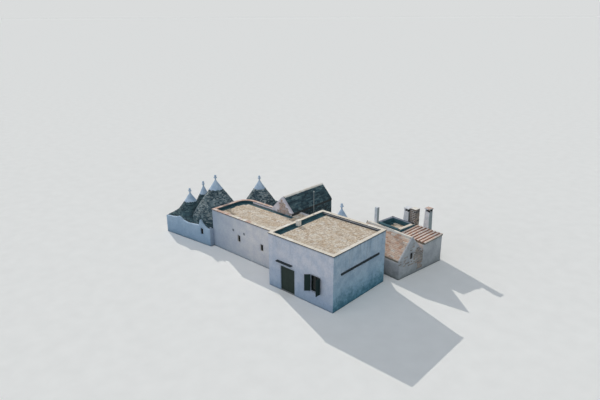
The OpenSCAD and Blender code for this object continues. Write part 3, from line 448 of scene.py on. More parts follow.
# Faces of rings of points that stand on each other, closed at both ends
def ringFaces(count, rings):
    last = (rings - 1) * count
    sides = [(i + k, i + (k + 1) % count, i + count + (k + 1) % count, i + count + k)
             for i in range(0, last, count) for k in range(count)]
    return [tuple(range(count))[::-1], tuple(range(last, last + count))] + sides


# Stone with a level outline, raised from low to high, with its upper edge worn round
def addStone(heap, outline, low, high, worn, mat=0, tone=0.5, place=straight, tilt=(0.0, 0.0), sideMat=None):
    ring = np.asarray(outline, dtype=float)
    middle = ring.mean(axis=0)
    reach = np.linalg.norm(ring - middle, axis=1, keepdims=True)
    inner = middle + (ring - middle) * (1 - 1.3 * worn / np.maximum(reach, 2 * worn))
    n = len(ring)
    points = np.concatenate([
        np.column_stack([ring, np.full(n, low)]),
        np.column_stack([ring, high - worn + (ring - middle) @ np.array(tilt)]),
        np.column_stack([inner, high + (inner - middle) @ np.array(tilt)])])
    edge = mat if sideMat is None else sideMat
    heap.add(place(points), ringFaces(n, 3), [edge, mat] + [edge] * n + [mat] * n, tone)


# What is left of an outline inside the lines (nx, ny, limit), where nx*x + ny*y stays below the limit
def clipped(outline, lines):
    for nx, ny, limit in lines:
        kept = []
        for a, b in zip(outline, outline[1:] + outline[:1]):
            overA, overB = nx * a[0] + ny * a[1] - limit, nx * b[0] + ny * b[1] - limit
            if overA <= 0:
                kept.append(a)
            if overA * overB < 0:
                t = overA / (overA - overB)
                kept.append((a[0] + (b[0] - a[0]) * t, a[1] + (b[1] - a[1]) * t))
        outline = kept
        if len(outline) < 3:
            return []
    return outline


def areaOf(outline):
    return 0.5 * abs(sum(a[0] * b[1] - b[0] * a[1] for a, b in zip(outline, outline[1:] + outline[:1])))


# Splits a length into random parts, given by their starts and ends, with no short one at the end
def cutUp(start, end, sizes):
    marks = [start]
    while end - marks[-1] > sizes[1]:
        marks.append(marks[-1] + draw(*sizes))
    if len(marks) > 1 and end - marks[-1] < 0.6 * sizes[0]:
        marks.pop()
    marks.append(end)
    return list(zip(marks, marks[1:]))


# Rows of slabs laid on a flat roof
def pave(heap, corner, far, look, lines=(), keep=None, place=straight, damp=None):
    g, w = look["gap"] / 2, look["wander"]
    for y0, y1 in cutUp(corner[1], far[1], look["rows"]):
        for x0, x1 in cutUp(corner[0] - draw(0, 0.2), far[0], look["lengths"]):
            around = box(max(x0, corner[0]) + g, y0 + g, x1 - g, y1 - g)
            outline = clipped([(x + draw(-w, w), y + draw(-w, w)) for x, y in around], lines)
            if len(outline) < 3 or areaOf(outline) < 0.012:
                continue
            middle = np.mean(outline, axis=0)
            if keep and not keep(middle):
                continue
            tilt = (draw(-1, 1) * look["tilt"], draw(-1, 1) * look["tilt"])
            top = look["deck"] + look["rise"] + draw(0, look["uneven"])
            # a slab whose middle passes the damp test takes the second material, the painted shadow
            mat = 1 if damp and damp(middle) else 0
            addStone(heap, outline, look["deck"] - 0.02, top, look["worn"], mat, chance.random(), place, tilt)


# Stone of a dry-laid course: at(s, out, z) gives the place of a point
def courseStone(heap, at, span, foot, head, inner, levels, mat=0, tone=0.5):
    (s0, s1), (low, high) = span, levels
    points = [at(s0, foot, low), at(s1, foot, low), at(s1, head, high), at(s0, head, high),
              at(s0, inner, low), at(s1, inner, low), at(s1, inner, high), at(s0, inner, high)]
    faces = [(0, 1, 2, 3), (4, 7, 6, 5), (0, 4, 5, 1), (3, 2, 6, 7), (0, 3, 7, 4), (1, 5, 6, 2)]
    heap.add(points, faces, mat, tone)


# Rubble stones that show in a wall face
def rubbleFace(heap, at, span, levels, look, keep):
    g = look["gap"] / 2
    for z0, z1 in cutUp(*levels, look["rows"]):
        for s0, s1 in cutUp(span[0] - draw(0, 0.1), span[1], look["lengths"]):
            if not keep(0.5 * (s0 + s1), 0.5 * (z0 + z1)) or chance.random() < look["missing"]:
                continue
            out = draw(*look["proud"])
            lift = draw(-g, g)
            courseStone(heap, at, (s0 + g, s1 - g), out, out - 0.003, -0.04, (z0 + g + lift, z1 - g + lift),
                        tone=chance.random())


def ofWall(value, i):
    return value[i] if isinstance(value, list) else value


# Hand-plastered face along a run of wall corners: outward is to the right of the way the corners go.
# A hole is (wall number, start, end, low, high). A crest that is wrapped gives its thickness and how
# far down it goes inside. Tops, feet and mat are for all walls or a list, one for each wall
plasterLook = {"proud": 0.013, "uneven": 0.004, "step": 0.16, "corner": 0.035, "back": -0.002}
kneeShare = 0.293  # the middle of a rounded corner lies this share of its radius in from the sharp one
plastered = {"slot": "limewash", "weld": 0.0004, "smooth": True, "outward": False}


def addPlaster(heap, corners, tops, holes=(), closed=False, feet=0.0, over=None, place=straight, mat=0):
    look = plasterLook
    path = [np.array(c, dtype=float) for c in corners]
    count = len(path) if closed else len(path) - 1
    steps = [path[(i + 1) % len(path)] - path[i] for i in range(count)]
    lengths = [np.linalg.norm(step) for step in steps]
    outs = [np.array([step[1], -step[0]]) / length for step, length in zip(steps, lengths)]
    ball = look["corner"]
    for i in range(count):
        length, out = lengths[i], outs[i]
        ends = []
        for step in (-1, 1):
            if not closed and not 0 <= i + step < count:
                ends.append(None)
                continue
            near = outs[(i + step) % count]
            bend = step * (out[0] * near[1] - out[1] * near[0])
            ends.append(((out + near) / (1 + out @ near), bend > 0.3))
        top = ofWall(tops, i)
        shares, crestZ = np.array(top if isinstance(top, list) else [(0, top), (1, top)], dtype=float).T
        mine = [h[1:] for h in holes if h[0] == i]
        cuts = [v for h in mine for v in h[:2]] + list(shares * length)
        cuts += [0.6 * ball, ball, length - ball, length - 0.6 * ball]
        columns = np.array(gridLines(0, length, look["step"], cuts))
        sills = [v for h in mine for v in h[2:]]
        rows = np.array(gridLines(ofWall(feet, i), crestZ.max(), look["step"], sills))
        ceiling = np.interp(columns, shares * length, crestZ)
        across, heights = np.meshgrid(columns, rows, indexing="ij")
        heights = np.minimum(heights, ceiling[:, None])
        ground = path[i] + across[..., None] * steps[i] / length
        flat = place(np.concatenate([ground, heights[..., None]], axis=2))
        wave = softNoise(flat, 0.55, 2) * 0.7 + softNoise(flat, 0.18, 5) * 0.3
        swell = look["proud"] + look["uneven"] * wave.reshape(across.shape)
        near = np.full(len(columns), 9.0)
        for end, distance in zip(ends, (columns, length - columns)):
            if end and end[1]:
                near = np.minimum(near, distance)
        drop = np.maximum(0, ball ** 2 - (ball - np.maximum(near, kneeShare * ball)) ** 2)
        sunk = np.where(near < ball, ball - np.sqrt(drop), 0)

        def layer(amount, z):
            spot = ground[:, :amount.shape[1]] + amount[..., None] * out
            for end, column, corner in zip(ends, (0, -1), (path[i], path[(i + 1) % len(path)])):
                if end:
                    spot[column] = corner + amount[column][:, None] * end[0]
            return np.concatenate([spot, z[..., None]], axis=2)

        front = layer(swell - sunk[:, None], heights)
        rear = layer(np.full(across.shape, look["back"]), heights)
        nc, nr = across.shape
        solid = np.ones((nc - 1, nr - 1), dtype=bool)
        middleS, middleZ = 0.5 * (columns[1:] + columns[:-1]), 0.5 * (rows[1:] + rows[:-1])
        for s0, s1, z0, z1 in mine:
            solid &= ~(((middleS > s0) & (middleS < s1))[:, None] & ((middleZ > z0) & (middleZ < z1)))
        faces = []
        size = nc * nr
        wrapped = bool(over) and over["walls"][i]
        for c in range(nc - 1):
            for r in range(nr - 1):
                if not solid[c, r]:
                    continue
                ring = [c * nr + r, (c + 1) * nr + r, (c + 1) * nr + r + 1, c * nr + r + 1]
                faces.append(tuple(ring))
                beyond = (r > 0 and solid[c, r - 1], solid[c + 1, r] if c < nc - 2 else ends[1],
                          solid[c, r + 1] if r < nr - 2 else wrapped, solid[c - 1, r] if c else ends[0])
                for k in range(4):
                    if not beyond[k]:
                        a, b = ring[k], ring[(k + 1) % 4]
                        faces.append((b, a, a + size, b + size))
        heap.add(place(np.concatenate([front.reshape(-1, 3), rear.reshape(-1, 3)])), faces, ofWall(mat, i))
        if wrapped:
            crest = [front[:, -1]]
            t = over["thick"]
            floor = np.minimum(over["floor"], ceiling - 0.03) if "floor" in over else ceiling - over["down"]
            for amount, z in ((0.2 * look["proud"], ceiling + 0.012), (-0.3 * t, ceiling + 0.02),
                              (-0.7 * t, ceiling + 0.02), (-t - 0.005, ceiling + 0.01),
                              (-t - 0.012, ceiling - 0.02), (-t - 0.012, floor)):
                crest.append(layer(np.full((nc, 1), amount), z[:, None])[:, 0])
            strips = [(k * nc + c, k * nc + c + 1, (k + 1) * nc + c + 1, (k + 1) * nc + c)
                      for k in range(6) for c in range(nc - 1)]
            topMat, innerMat = over["mats"][i] if "mats" in over else [ofWall(mat, i)] * 2
            mats = [topMat] * 4 * (nc - 1) + [innerMat] * 2 * (nc - 1)
            heap.add(place(np.concatenate(crest)), strips, mats)


# Upright square block with rounded corners and a trowelled face; half(z) gives half its width.
# The faces take every ring to have as many points as the first. The narrower upper rings of the
# second chimney have fewer, so its faces are joined wrongly there
def addShaft(heap, middle, half, levels, place=straight, mat=0, corner=0.04, uneven=0.006, step=0.2):
    rings = []
    for z in gridLines(levels[0], levels[1], step, levels[2:]):
        h = half(z)
        marks = []
        for sx, sy in ((1, -1), (1, 1), (-1, 1), (-1, -1)):
            pair = [(sx * h, sy * (h - corner)), (sx * (h - corner), sy * h)][::sx * sy]
            knee = h - kneeShare * corner
            marks += [pair[0], (sx * knee, sy * knee), pair[1]]
        ring = []
        for a, b in zip(marks, marks[1:] + marks[:1]):
            parts = max(1, round(math.dist(a, b) / step))
            ring += [(middle[0] + a[0] + (b[0] - a[0]) * k / parts,
                      middle[1] + a[1] + (b[1] - a[1]) * k / parts, z) for k in range(parts)]
        rings.append(ring)
    points = np.array([point for ring in rings for point in ring])
    away = points[:, :2] - np.array(middle)
    away /= np.linalg.norm(away, axis=1, keepdims=True)
    points[:, :2] += away * (uneven * softNoise(place(points), 0.3, 8))[:, None]
    heap.add(place(points), ringFaces(len(rings[0]), len(rings)), mat)


# Turned form from a profile of (radius, height), a little uneven as if shaped by hand
def addTurned(heap, centre, profile, count, uneven):
    ways = [2 * math.pi * k / count for k in range(count)]
    points = np.array([(centre[0] + r * math.cos(a), centre[1] + r * math.sin(a), z)
                       for r, z in profile for a in ways])
    away = points[:, :2] - np.array(centre)
    length = np.maximum(np.linalg.norm(away, axis=1, keepdims=True), 1e-6)
    swell = uneven * np.minimum(1, length[:, 0] / 0.1) * softNoise(points, 0.22, 4)
    points[:, :2] += away / length * swell[:, None]
    heap.add(points, ringFaces(count, len(profile)))


# Main block

# damp is the width of the strip of painted shadow on the roof beside the left parapet
mainBlock = {"side": 6.58, "wallTop": 4.55, "deck": 4.35, "inner": 0.25, "inset": 6.33, "damp": 0.42}
doorHole = (1.30, 2.78, 0.0, 2.16)
windowHole = (4.40, 5.35, 1.08, 2.45)
side, top = mainBlock["side"], mainBlock["wallTop"]
a, b = mainBlock["inner"], mainBlock["inset"]

heap = Heap()
addPlaster(heap, box(0, 0, side, side), top, closed=True, mat=[0, 1, 1, 0],
           holes=[(0, *doorHole), (0, *windowHole), (3, 0.50, 4.68, 0.0, 3.40)])
makePiece("MainBlockLimewash", heap, [limeMain, limeShade], **plastered)

heap = Heap()
# painted shade: the left inner face takes the dark teal wash, the others the grey one
addPlaster(heap, [(a, a), (a, b), (b, b), (b, a)], top, closed=True, feet=4.34, mat=[0, 1, 1, 1])
makePiece("MainParapetInnerLimewash", heap, [limeShadowed, limeParapetMain], **{**plastered, "smooth": False})

# Two squared stones on each other beside the left parapet
heap = Heap()
for low, high in ((4.34, 4.595), (4.60, 4.824)):
    addStone(heap, [(0.246, 2.862), (0.587, 2.866), (0.584, 3.207), (0.245, 3.203)], low, high, 0.018,
             tone=chance.random())
makePiece("ParapetBlockStones", heap, [ridgeMortar], "pale_stone")

# Painted shadow: the paving is dark in a strip beside the left parapet, where the parapet's shadow falls
roofPaving = {"rows": (0.24, 0.38), "lengths": (0.26, 0.46), "gap": 0.012, "wander": 0.005, "tilt": 0.005,
              "rise": 0.008, "uneven": 0.007, "worn": 0.006, "deck": mainBlock["deck"]}
heap = Heap()
strip = a + mainBlock["damp"]
pave(heap, (a + 0.015, a + 0.015), (strip, b - 0.015), roofPaving, damp=lambda p: True)
pave(heap, (strip, a + 0.015), (b - 0.015, b - 0.015), roofPaving)
makePiece("MainRoofPaving", heap, [pavingStone, pavingShadowed], "stone_paving")

# Sawn coping slabs, about a metre long, bedded on the parapet
coping = {"lengths": (0.75, 1.15), "gap": 0.008, "worn": 0.008, "outer": 0.054, "inner": 0.256,
          "z": (4.547, 4.60)}


# Slabs in a row along a wall: where(s, out) gives the place of a point
def copingRun(heap, where, length, look, mat=lambda s: 0):
    g, inner = look["gap"] / 2, -look["inner"]
    low, high = look["z"]
    for s0, s1 in cutUp(0, length, look["lengths"]):
        out = look["outer"] + draw(-0.002, 0.003)
        outline = [where(s0 + g, out), where(s1 - g, out), where(s1 - g, inner), where(s0 + g, inner)]
        kind = mat(s0)
        rise = draw(0.002, 0.007)
        addStone(heap, outline, low, high + rise, look["worn"], kind, chance.random(), sideMat=1)


heap = Heap()
lap = coping["outer"]
copingRun(heap, lambda s, out: (s - lap, -out), side + 2 * lap, coping)
copingRun(heap, lambda s, out: (side + lap - s, side + out), side + 2 * lap, coping)
copingRun(heap, lambda s, out: (side + out, a + s), b - a, coping)
copingRun(heap, lambda s, out: (-out, b - s), b - a, coping)
makePiece("MainCopingSlabs", heap, [copingStone, dripStoneShaded], "pale_stone")

# Dark stone slabs let into the wall over the door and along the right side; their near black is partly
# painted shade
canopy = {"x": (0.95, 2.59), "lip": -0.285, "z": (2.495, 2.56), "lengths": (0.5, 0.7)}
heap = Heap()
for x0, x1 in cutUp(*canopy["x"], canopy["lengths"]):
    lip = canopy["lip"] + draw(0.0, 0.03)
    chip = draw(0.01, 0.05)
    outline = [(x0 + 0.004, lip + chip), (x0 + 0.07, lip), (x1 - 0.09, lip + 0.3 * chip),
               (x1 - 0.004, lip + 0.02), (x1 - 0.004, 0.05), (x0 + 0.004, 0.05)]
    addStone(heap, outline, canopy["z"][0], canopy["z"][1] - draw(0, 0.006), 0.008, tone=chance.random())
makePiece("DoorCanopySlabs", heap, [slabStoneShaded], "dark_slab", replaces=["door_canopy"])

ledge = {"y": (0.85, 5.70), "root": 6.53, "lip": 6.705, "z": (2.795, 2.939), "lengths": (0.55, 0.95)}
heap = Heap()
for y0, y1 in cutUp(*ledge["y"], ledge["lengths"]):
    lip = ledge["lip"] - draw(0.0, 0.015)
    outline = [(ledge["root"], y0 + 0.004), (lip - 0.012, y0 + 0.004), (lip, y0 + 0.08),
               (lip - 0.006, y1 - 0.05), (lip - 0.02, y1 - 0.004), (ledge["root"], y1 - 0.004)]
    addStone(heap, outline, ledge["z"][0], ledge["z"][1] - draw(0, 0.008), 0.009, tone=chance.random())
makePiece("SideLedgeSlabs", heap, [slabStoneShaded], "dark_slab", replaces=["side_ledge"])
print("main block done")


# Middle block

middle = {"round": 1.30, "turn": (-8.10, 4.80), "left": -9.40, "rear": 6.10, "top": 3.63, "deck": 3.43}
turnX, turnY = middle["turn"]


# Point on the rounded rear corner, at an angle from the rear wall and a distance from its middle
def onRound(angle, r):
    return (turnX - r * math.sin(angle), turnY + r * math.cos(angle))


def cornerArc(pull, parts=10):
    return [onRound(math.pi / 2 * k / parts, middle["round"] - pull) for k in range(parts + 1)]


heap = Heap()
outer = [(-5.45, 6.10)] + cornerArc(0) + [(-9.40, 1.87), (0.0, 1.87)]
frontWall = len(outer) - 2
vent = {"x": (-6.48, -5.04), "z": 2.375, "half": 0.075, "radius": 0.065, "ring": 0.115}
cuts = [(frontWall - 1, 0.0, 2.93, 0.0, 1.70)]
cuts += [(frontWall, x + 9.40, x + 9.74, 1.43, 2.04) for x in (-5.91, -2.96)]
low, high = vent["z"] - vent["half"], vent["z"] + vent["half"]
cuts += [(frontWall, x + 9.40 - vent["half"], x + 9.40 + vent["half"], low, high) for x in vent["x"]]
addPlaster(heap, outer, middle["top"], holes=cuts)
# a smooth collar round each vent, from the hole's edge out to the wall's face
loops = [(vent["radius"], 1.88), (vent["radius"], 1.852), (vent["radius"] + 0.008, 1.846),
         (vent["ring"] - 0.01, 1.846), (vent["ring"], 1.853), (vent["ring"], 1.875)]
n = 24
circle = [(math.cos(2 * math.pi * k / n), math.sin(2 * math.pi * k / n)) for k in range(n)]
faces = [(i * n + k, i * n + (k + 1) % n, (i + 1) % 6 * n + (k + 1) % n, (i + 1) % 6 * n + k)
         for i in range(6) for k in range(n)]
for x in vent["x"]:
    heap.add([(x + r * c, y, vent["z"] + r * s) for r, y in loops for c, s in circle], faces, 1)
makePiece("MiddleBlockLimewash", heap, [limeMiddle, limeGrey], **plastered)

heap = Heap()
inner = [(0.0, 2.12), (-9.15, 2.12)] + cornerArc(0.25)[::-1] + [(-5.45, 5.85)]
# painted shade: the left and rounded parts take the dark teal wash
addPlaster(heap, inner, middle["top"], feet=3.42, mat=[0] + [1] * (len(inner) - 3) + [0])
makePiece("MiddleParapetInnerLimewash", heap, [limeParapet, limeShadowed], **plastered)


# painted shadow along the left and rounded parapets and at the foot of the gable house
def shadowRim(p):
    arc = p[0] < turnX and p[1] > turnY and math.dist(p, (turnX, turnY)) > 0.55
    return arc or p[0] < -8.72 or (p[1] > 5.3 and p[0] < -2.75)


heap = Heap()
deck = {**roofPaving, "deck": middle["deck"], "lengths": (0.3, 0.6)}
ways = [math.pi / 2 * (k + 0.5) / 8 for k in range(8)]
arcLines = [(-math.sin(t), math.cos(t), -math.sin(t) * turnX + math.cos(t) * turnY + 1.03) for t in ways]
pave(heap, (-9.13, 2.135), (-0.015, 5.79), deck, lines=arcLines, damp=shadowRim)
pave(heap, (-2.94, 5.79), (-0.015, 6.57), deck)
pave(heap, (-2.94, 6.57), (-0.76, 6.84), deck)
pave(heap, (-1.44, 6.84), (-0.76, 8.24), deck)
makePiece("MiddleRoofPaving", heap, [pavingStone, pavingShadowed], "stone_paving")

# Fired clay slabs, a foot long, laid flat on the parapet and fanned round the corner
clay = {"lengths": (0.28, 0.36), "gap": 0.008, "worn": 0.007, "outer": 0.054, "inner": 0.28,
        "z": (3.628, 3.68)}
heap = Heap()
copingRun(heap, lambda s, out: (-9.454 + s, 1.87 - out), 9.44, clay,
          mat=lambda s: 2 if chance.random() < (s - 1.5) / 4 else 0)
copingRun(heap, lambda s, out: (middle["left"] - out, turnY - s), 2.65, clay)
copingRun(heap, lambda s, out: onRound(math.pi / 2 - s / middle["round"], middle["round"] + out),
          math.pi / 2 * middle["round"], clay)
copingRun(heap, lambda s, out: (turnX + s, middle["rear"] + out), 2.64, clay)
makePiece("MiddleCopingTiles", heap, [clayCoping, clayDripShaded, copingStone], "terracotta_coping")
print("middle block done")


# Front door: louvred slats in the sunken panels of each leaf

# Sloping slats over a panel: at(across, depth, height) gives the place, depth runs inwards from the face
def addSlats(heap, at, across, levels, look):
    count = max(1, round((levels[1] - levels[0]) / look["slat"]))
    pitch = (levels[1] - levels[0]) / count
    sink = look["sink"]
    faces = [(0, 1, 2, 3), (7, 6, 5, 4), (0, 4, 5, 1), (1, 5, 6, 2), (2, 6, 7, 3), (3, 7, 4, 0)]
    for k in range(count):
        z = levels[0] + k * pitch
        low, high = z + 0.002, z + pitch + (0.006 if k < count - 1 else 0)
        outline = [(0.0008, low), (look["thick"], low), (sink + 0.002, high), (sink - 0.004, high)]
        heap.add([at(u, d, h) for u in across for d, h in outline], faces)


leafLook = {"edges": (0.150, 0.652), "spans": ((0.175, 0.933), (1.018, 2.012)), "slat": 0.046, "face": 0.060,
            "back": 0.100, "thick": 0.007, "sink": 0.010}
for name, body, jamb, way in (("LeftLeafSlats", "left_leaf", doorHole[0], 1),
                              ("RightLeafSlats", "right_leaf", doorHole[1], -1)):
    heap = Heap()
    for levels in leafLook["spans"]:
        for face, turn in (("face", 1), ("back", -1)):
            addSlats(heap, lambda u, d, h: (jamb + way * u, leafLook[face] + turn * d, h),
                     leafLook["edges"], levels, leafLook)
    makePiece(name, heap, [doorPaint], "green_wood", body=body)

# Front window: slats on both faces of the open shutters, and thin glazing bars
shutters = {"edges": (0.05, 0.42), "levels": (0.05, 1.32), "thick": 0.007, "slat": 0.048, "sink": 0.010,
            "board": 0.035, "z": 1.08}
heap = Heap()
for hinge, turn, way in ((windowHole[0], -140.0, 1), (windowHole[1], 90.0, -1)):
    c, s = math.cos(math.radians(turn)), math.sin(math.radians(turn))

    def onShutter(u, d, h):
        return (hinge + way * u * c - d * s, -0.0003 + way * u * s + d * c, shutters["z"] + h)

    for at in (onShutter, lambda u, d, h: onShutter(u, shutters["board"] - d, h)):
        addSlats(heap, at, shutters["edges"], shutters["levels"], shutters)
makePiece("ShutterSlats", heap, [greenPaint], "green_wood")

glazing = {"panes": ((4.45, 4.85), (4.90, 5.30)), "low": 1.13, "high": 2.40, "bars": 2, "half": 0.011,
           "depth": (0.128, 0.147)}
heap = Heap()
for x0, x1 in glazing["panes"]:
    for k in range(glazing["bars"]):
        z = glazing["low"] + (glazing["high"] - glazing["low"]) * (k + 1) / (glazing["bars"] + 1)
        outline = box(x0, glazing["depth"][0], x1, glazing["depth"][1])
        addStone(heap, outline, z - glazing["half"], z + glazing["half"], 0.004)
makePiece("WindowGlazingBars", heap, [framePaintShaded], "white_wood")

# Panes and a cross bar behind the small frames of the old rooms: place, start, width, foot, height, depth
# and whether the wall runs across
niches = [(straight, -5.91, 0.34, 1.43, 0.61, 1.95, False), (straight, -2.96, 0.34, 1.43, 0.61, 1.95, False),
          (onWing, 4.97, 0.38, 0.97, 0.60, 0.08, False), (onSide, -0.175, 0.35, 1.42, 0.60, 4.87, True)]
pane = {"rim": 0.034, "bar": 0.011}
heap = Heap()
for place, s0, w, z0, h, depth, cross in niches:
    start, end, low, high = s0 + pane["rim"], s0 + w - pane["rim"], z0 + pane["rim"], z0 + h - pane["rim"]
    s, z = s0 + w / 2, z0 + h / 2
    for u0, u1, d0, d1, v0, v1, mat in (
            (start, end, 0.022, 0.027, low, high, 0),
            (s - pane["bar"], s + pane["bar"], 0.012, 0.036, low, high, 1),
            (start, end, 0.014, 0.034, z - pane["bar"], z + pane["bar"], 1)):
        points = [(depth - d, u, v) if cross else (u, depth + d, v)
                  for u in (u0, u1) for d in (d0, d1) for v in (v0, v1)]
        faces = [(0, 1, 3, 2), (4, 6, 7, 5), (0, 4, 5, 1), (2, 3, 7, 6), (0, 2, 6, 4), (1, 5, 7, 3)]
        heap.add(place(points), faces, mat)
makePiece("NichePanesAndBars", heap, [clearGlass, brownWood], "glass")
print("doors and windows done")


# Trullo wing: the crest is given as shares of the front wall's length and heights over the wall

wing = {"wall": 1.60, "left": -16.1545, "crest": (
    (0, 0.12), (0.16, 0.19), (0.25, 0.29), (0.29, 0.42), (0.34, 0.32), (0.38, 0.16), (0.5, 0.05),
    (0.76, 0.18), (0.79, 0.78), (0.82, 0.54), (0.88, 0.21), (0.97, 0.02), (1, 0.25))}
heap = Heap()
crest = [(share, wing["wall"] + rise) for share, rise in wing["crest"]]
addPlaster(heap, [(-9.40, 7.0), (-16.155, 7.0), (-15.65, 0.93), (-9.40, 1.45), (-9.40, 1.87)],
           [1.75, 1.75, crest, [(0, 1.9), (0.47, 1.9), (0.5, 1.75), (1, 1.75)]],
           holes=[(2, 4.97, 5.35, 0.97, 1.57)], mat=[1, 1, 0, 2],
           over={"walls": [False, False, True, False], "thick": 0.2, "floor": 1.74})
for group in heap.points:
    group[:, 0] = np.maximum(group[:, 0], wing["left"])
makePiece("TrulloWingLimewash", heap, [limeWing, limeRear, limeMiddle], **plastered)

cones = {
    "Front": {"at": (-14.30, 3.00), "r": 1.52, "h": 2.06, "bed": 1.75, "cap": 0.76},
    "Big": {"at": (-11.70, 4.26), "r": 2.60, "h": 3.68, "bed": 1.75, "cap": 0.86},
    "Small": {"at": (-14.91, 5.15), "r": 1.08, "h": 2.15, "bed": 1.75, "cap": 0.76},
    "Rear": {"at": (-10.25, 8.75), "r": 1.70, "h": 2.48, "bed": 2.15, "cap": 0.76},
    "Yard": {"at": (0.85, 8.24), "r": 1.45, "h": 2.27, "bed": 2.15, "cap": 0.76},
}
# The big cone stops at the middle block's wall, up to its coping
coneStop = {"x": -9.416, "z": 3.70}
dryStone = {"course": 0.085, "lengths": (0.12, 0.28), "proud": (0.010, 0.036), "batter": 0.55, "worn": 0.007,
            "joint": 0.004, "lift": 0.006}


# How far a point lies inside a cone's stone face
def depthIn(cone, p):
    if p[2] < cone["bed"]:
        return -1.0
    return cone["r"] * (1 - (p[2] - cone["bed"]) / cone["h"]) - math.dist(p[:2], cone["at"])


def roundCone(cone):
    x, y = cone["at"]
    return lambda t, out, z: (x + out * math.cos(t), y + out * math.sin(t), cone["bed"] + z)


g = dryStone["joint"]
for name, cone in cones.items():
    heap = Heap()
    at = roundCone(cone)
    others = [c for n, c in cones.items()
              if n != name and math.dist(c["at"], cone["at"]) < c["r"] + cone["r"]]
    faceHeight = cone["h"] - cone["cap"] + 0.03
    courses = round(faceHeight / dryStone["course"])
    for k in range(courses):
        z0, z1 = k * faceHeight / courses, (k + 1) * faceHeight / courses
        r0, r1 = cone["r"] * (1 - z0 / cone["h"]), cone["r"] * (1 - z1 / cone["h"])
        parts = cutUp(0, 2 * math.pi * r0, dryStone["lengths"])
        start = draw(0, 1)
        for s0, s1 in parts:
            out = r0 + draw(*dryStone["proud"]) + 0.12 * (s1 - s0) ** 2 / r0
            lift = draw(-dryStone["lift"], dryStone["lift"])
            a0, a1 = start + (s0 + g) / r0, start + (s1 - g) / r0
            spot = at(0.5 * (a0 + a1), r0, z0)
            if any(depthIn(other, spot) > 0.05 for other in others):
                continue
            if name == "Big" and spot[0] > -9.42 and spot[2] < coneStop["z"]:
                continue
            # low courses take the shaded stone more often: painted shade near the bed, partly damp
            courseStone(heap, at, (a0, a1), out, out - (r0 - r1) * dryStone["batter"], r1 - 0.05,
                        (z0 + lift - 0.004, z1 + lift), 1 if chance.random() > 0.25 + 1.1 * z0 else 0,
                        chance.random())
    if name == "Big":
        for group in heap.points:
            low = group[:, 2] < coneStop["z"]
            group[low, 0] = np.minimum(group[low, 0], coneStop["x"])
    # painted shade: the front and small cones are all of the shaded stone
    upper = roofStone if name in ("Big", "Rear", "Yard") else darkStone
    makePiece("Cone" + name + "Stones", heap, [upper, darkStone], "dry_stone", worn=dryStone["worn"])

# Rubble that fills the corners between the front cones and the walls, sloping up to the stone face
fill = {"high": 0.55, "course": 0.08, "reach": 1.25, "curve": 1.25, "lengths": (0.14, 0.3)}
nx, ny = math.sin(wingFrame["turn"]), -math.cos(wingFrame["turn"])
wingLines = [(nx, ny, nx * -15.65 + ny * 0.93 - 0.23), (ny, -nx, ny * -15.65 - nx * 0.93 - 0.02)]
heap = Heap()
for name in ("Front", "Small"):
    cone = cones[name]
    at, r = roundCone(cone), cone["r"]
    for k in range(round(fill["high"] / fill["course"])):
        levels = (k * fill["course"], (k + 1) * fill["course"])
        for s0, s1 in cutUp(0, 2 * math.pi * r, fill["lengths"]):
            a0, a1 = (s0 + g) / r, (s1 - g) / r
            way = np.array((math.cos(0.5 * (a0 + a1)), math.sin(0.5 * (a0 + a1))))
            room = min([(limit - np.dot((nx, ny), cone["at"])) / np.dot((nx, ny), way)
                        for nx, ny, limit in wingLines if np.dot((nx, ny), way) > 0.05], default=9.0)
            if not r + 0.06 < room < r + fill["reach"]:
                continue
            spot = (*(cone["at"] + room * way), 1.80)
            if any(depthIn(c, spot) > 0.0 for n, c in cones.items() if n != name):
                continue
            r0, r1 = [r * (1 - z / cone["h"]) + (room - r) * max(0, 1 - z / fill["high"]) ** fill["curve"]
                      for z in levels]
            rough = draw(0.0, 0.02)
            courseStone(heap, at, (a0, a1), r0 - 0.02 + rough, 0.35 * r0 + 0.65 * r1 + rough, r1 - 0.15,
                        (levels[0] - 0.01, levels[1] + rough), tone=chance.random())
makePiece("ConeFootFillStones", heap, [darkStone], "dry_stone", worn=dryStone["worn"])

# Plastered caps: a straight trowelled skirt with a drip edge, drawn in to the pinnacle
capLook = {"thick": 0.045, "apex": 0.085, "drip": 0.035, "rings": 14}
heap = Heap()
for cone in cones.values():
    foot = cone["cap"] * cone["r"] / cone["h"] + capLook["thick"]
    z = cone["bed"] + cone["h"] - cone["cap"]
    drip = z - capLook["drip"]
    profile = [(foot - 0.05, drip + 0.012), (foot - 0.004, drip), (foot + 0.012, z - 0.018),
               (foot + 0.006, z + 0.012)]
    profile += [(capLook["apex"] + (foot - capLook["apex"]) * (1 - t), z + cone["cap"] * t)
                for t in [k / capLook["rings"] for k in range(1, capLook["rings"] + 1)]]
    addTurned(heap, cone["at"], profile, 48, 0.010)
makePiece("ConeCapsPlaster", heap, [capPlaster], "plaster", replaces=["cone_caps"], smooth=True)


# Part of a ball's profile between two heights
def ballProfile(radius, centre, low, high, parts=8):
    heights = [low + (high - low) * k / parts for k in range(parts + 1)]
    return [(math.sqrt(max(0.0001, radius ** 2 - (z - centre) ** 2)), z) for z in heights]


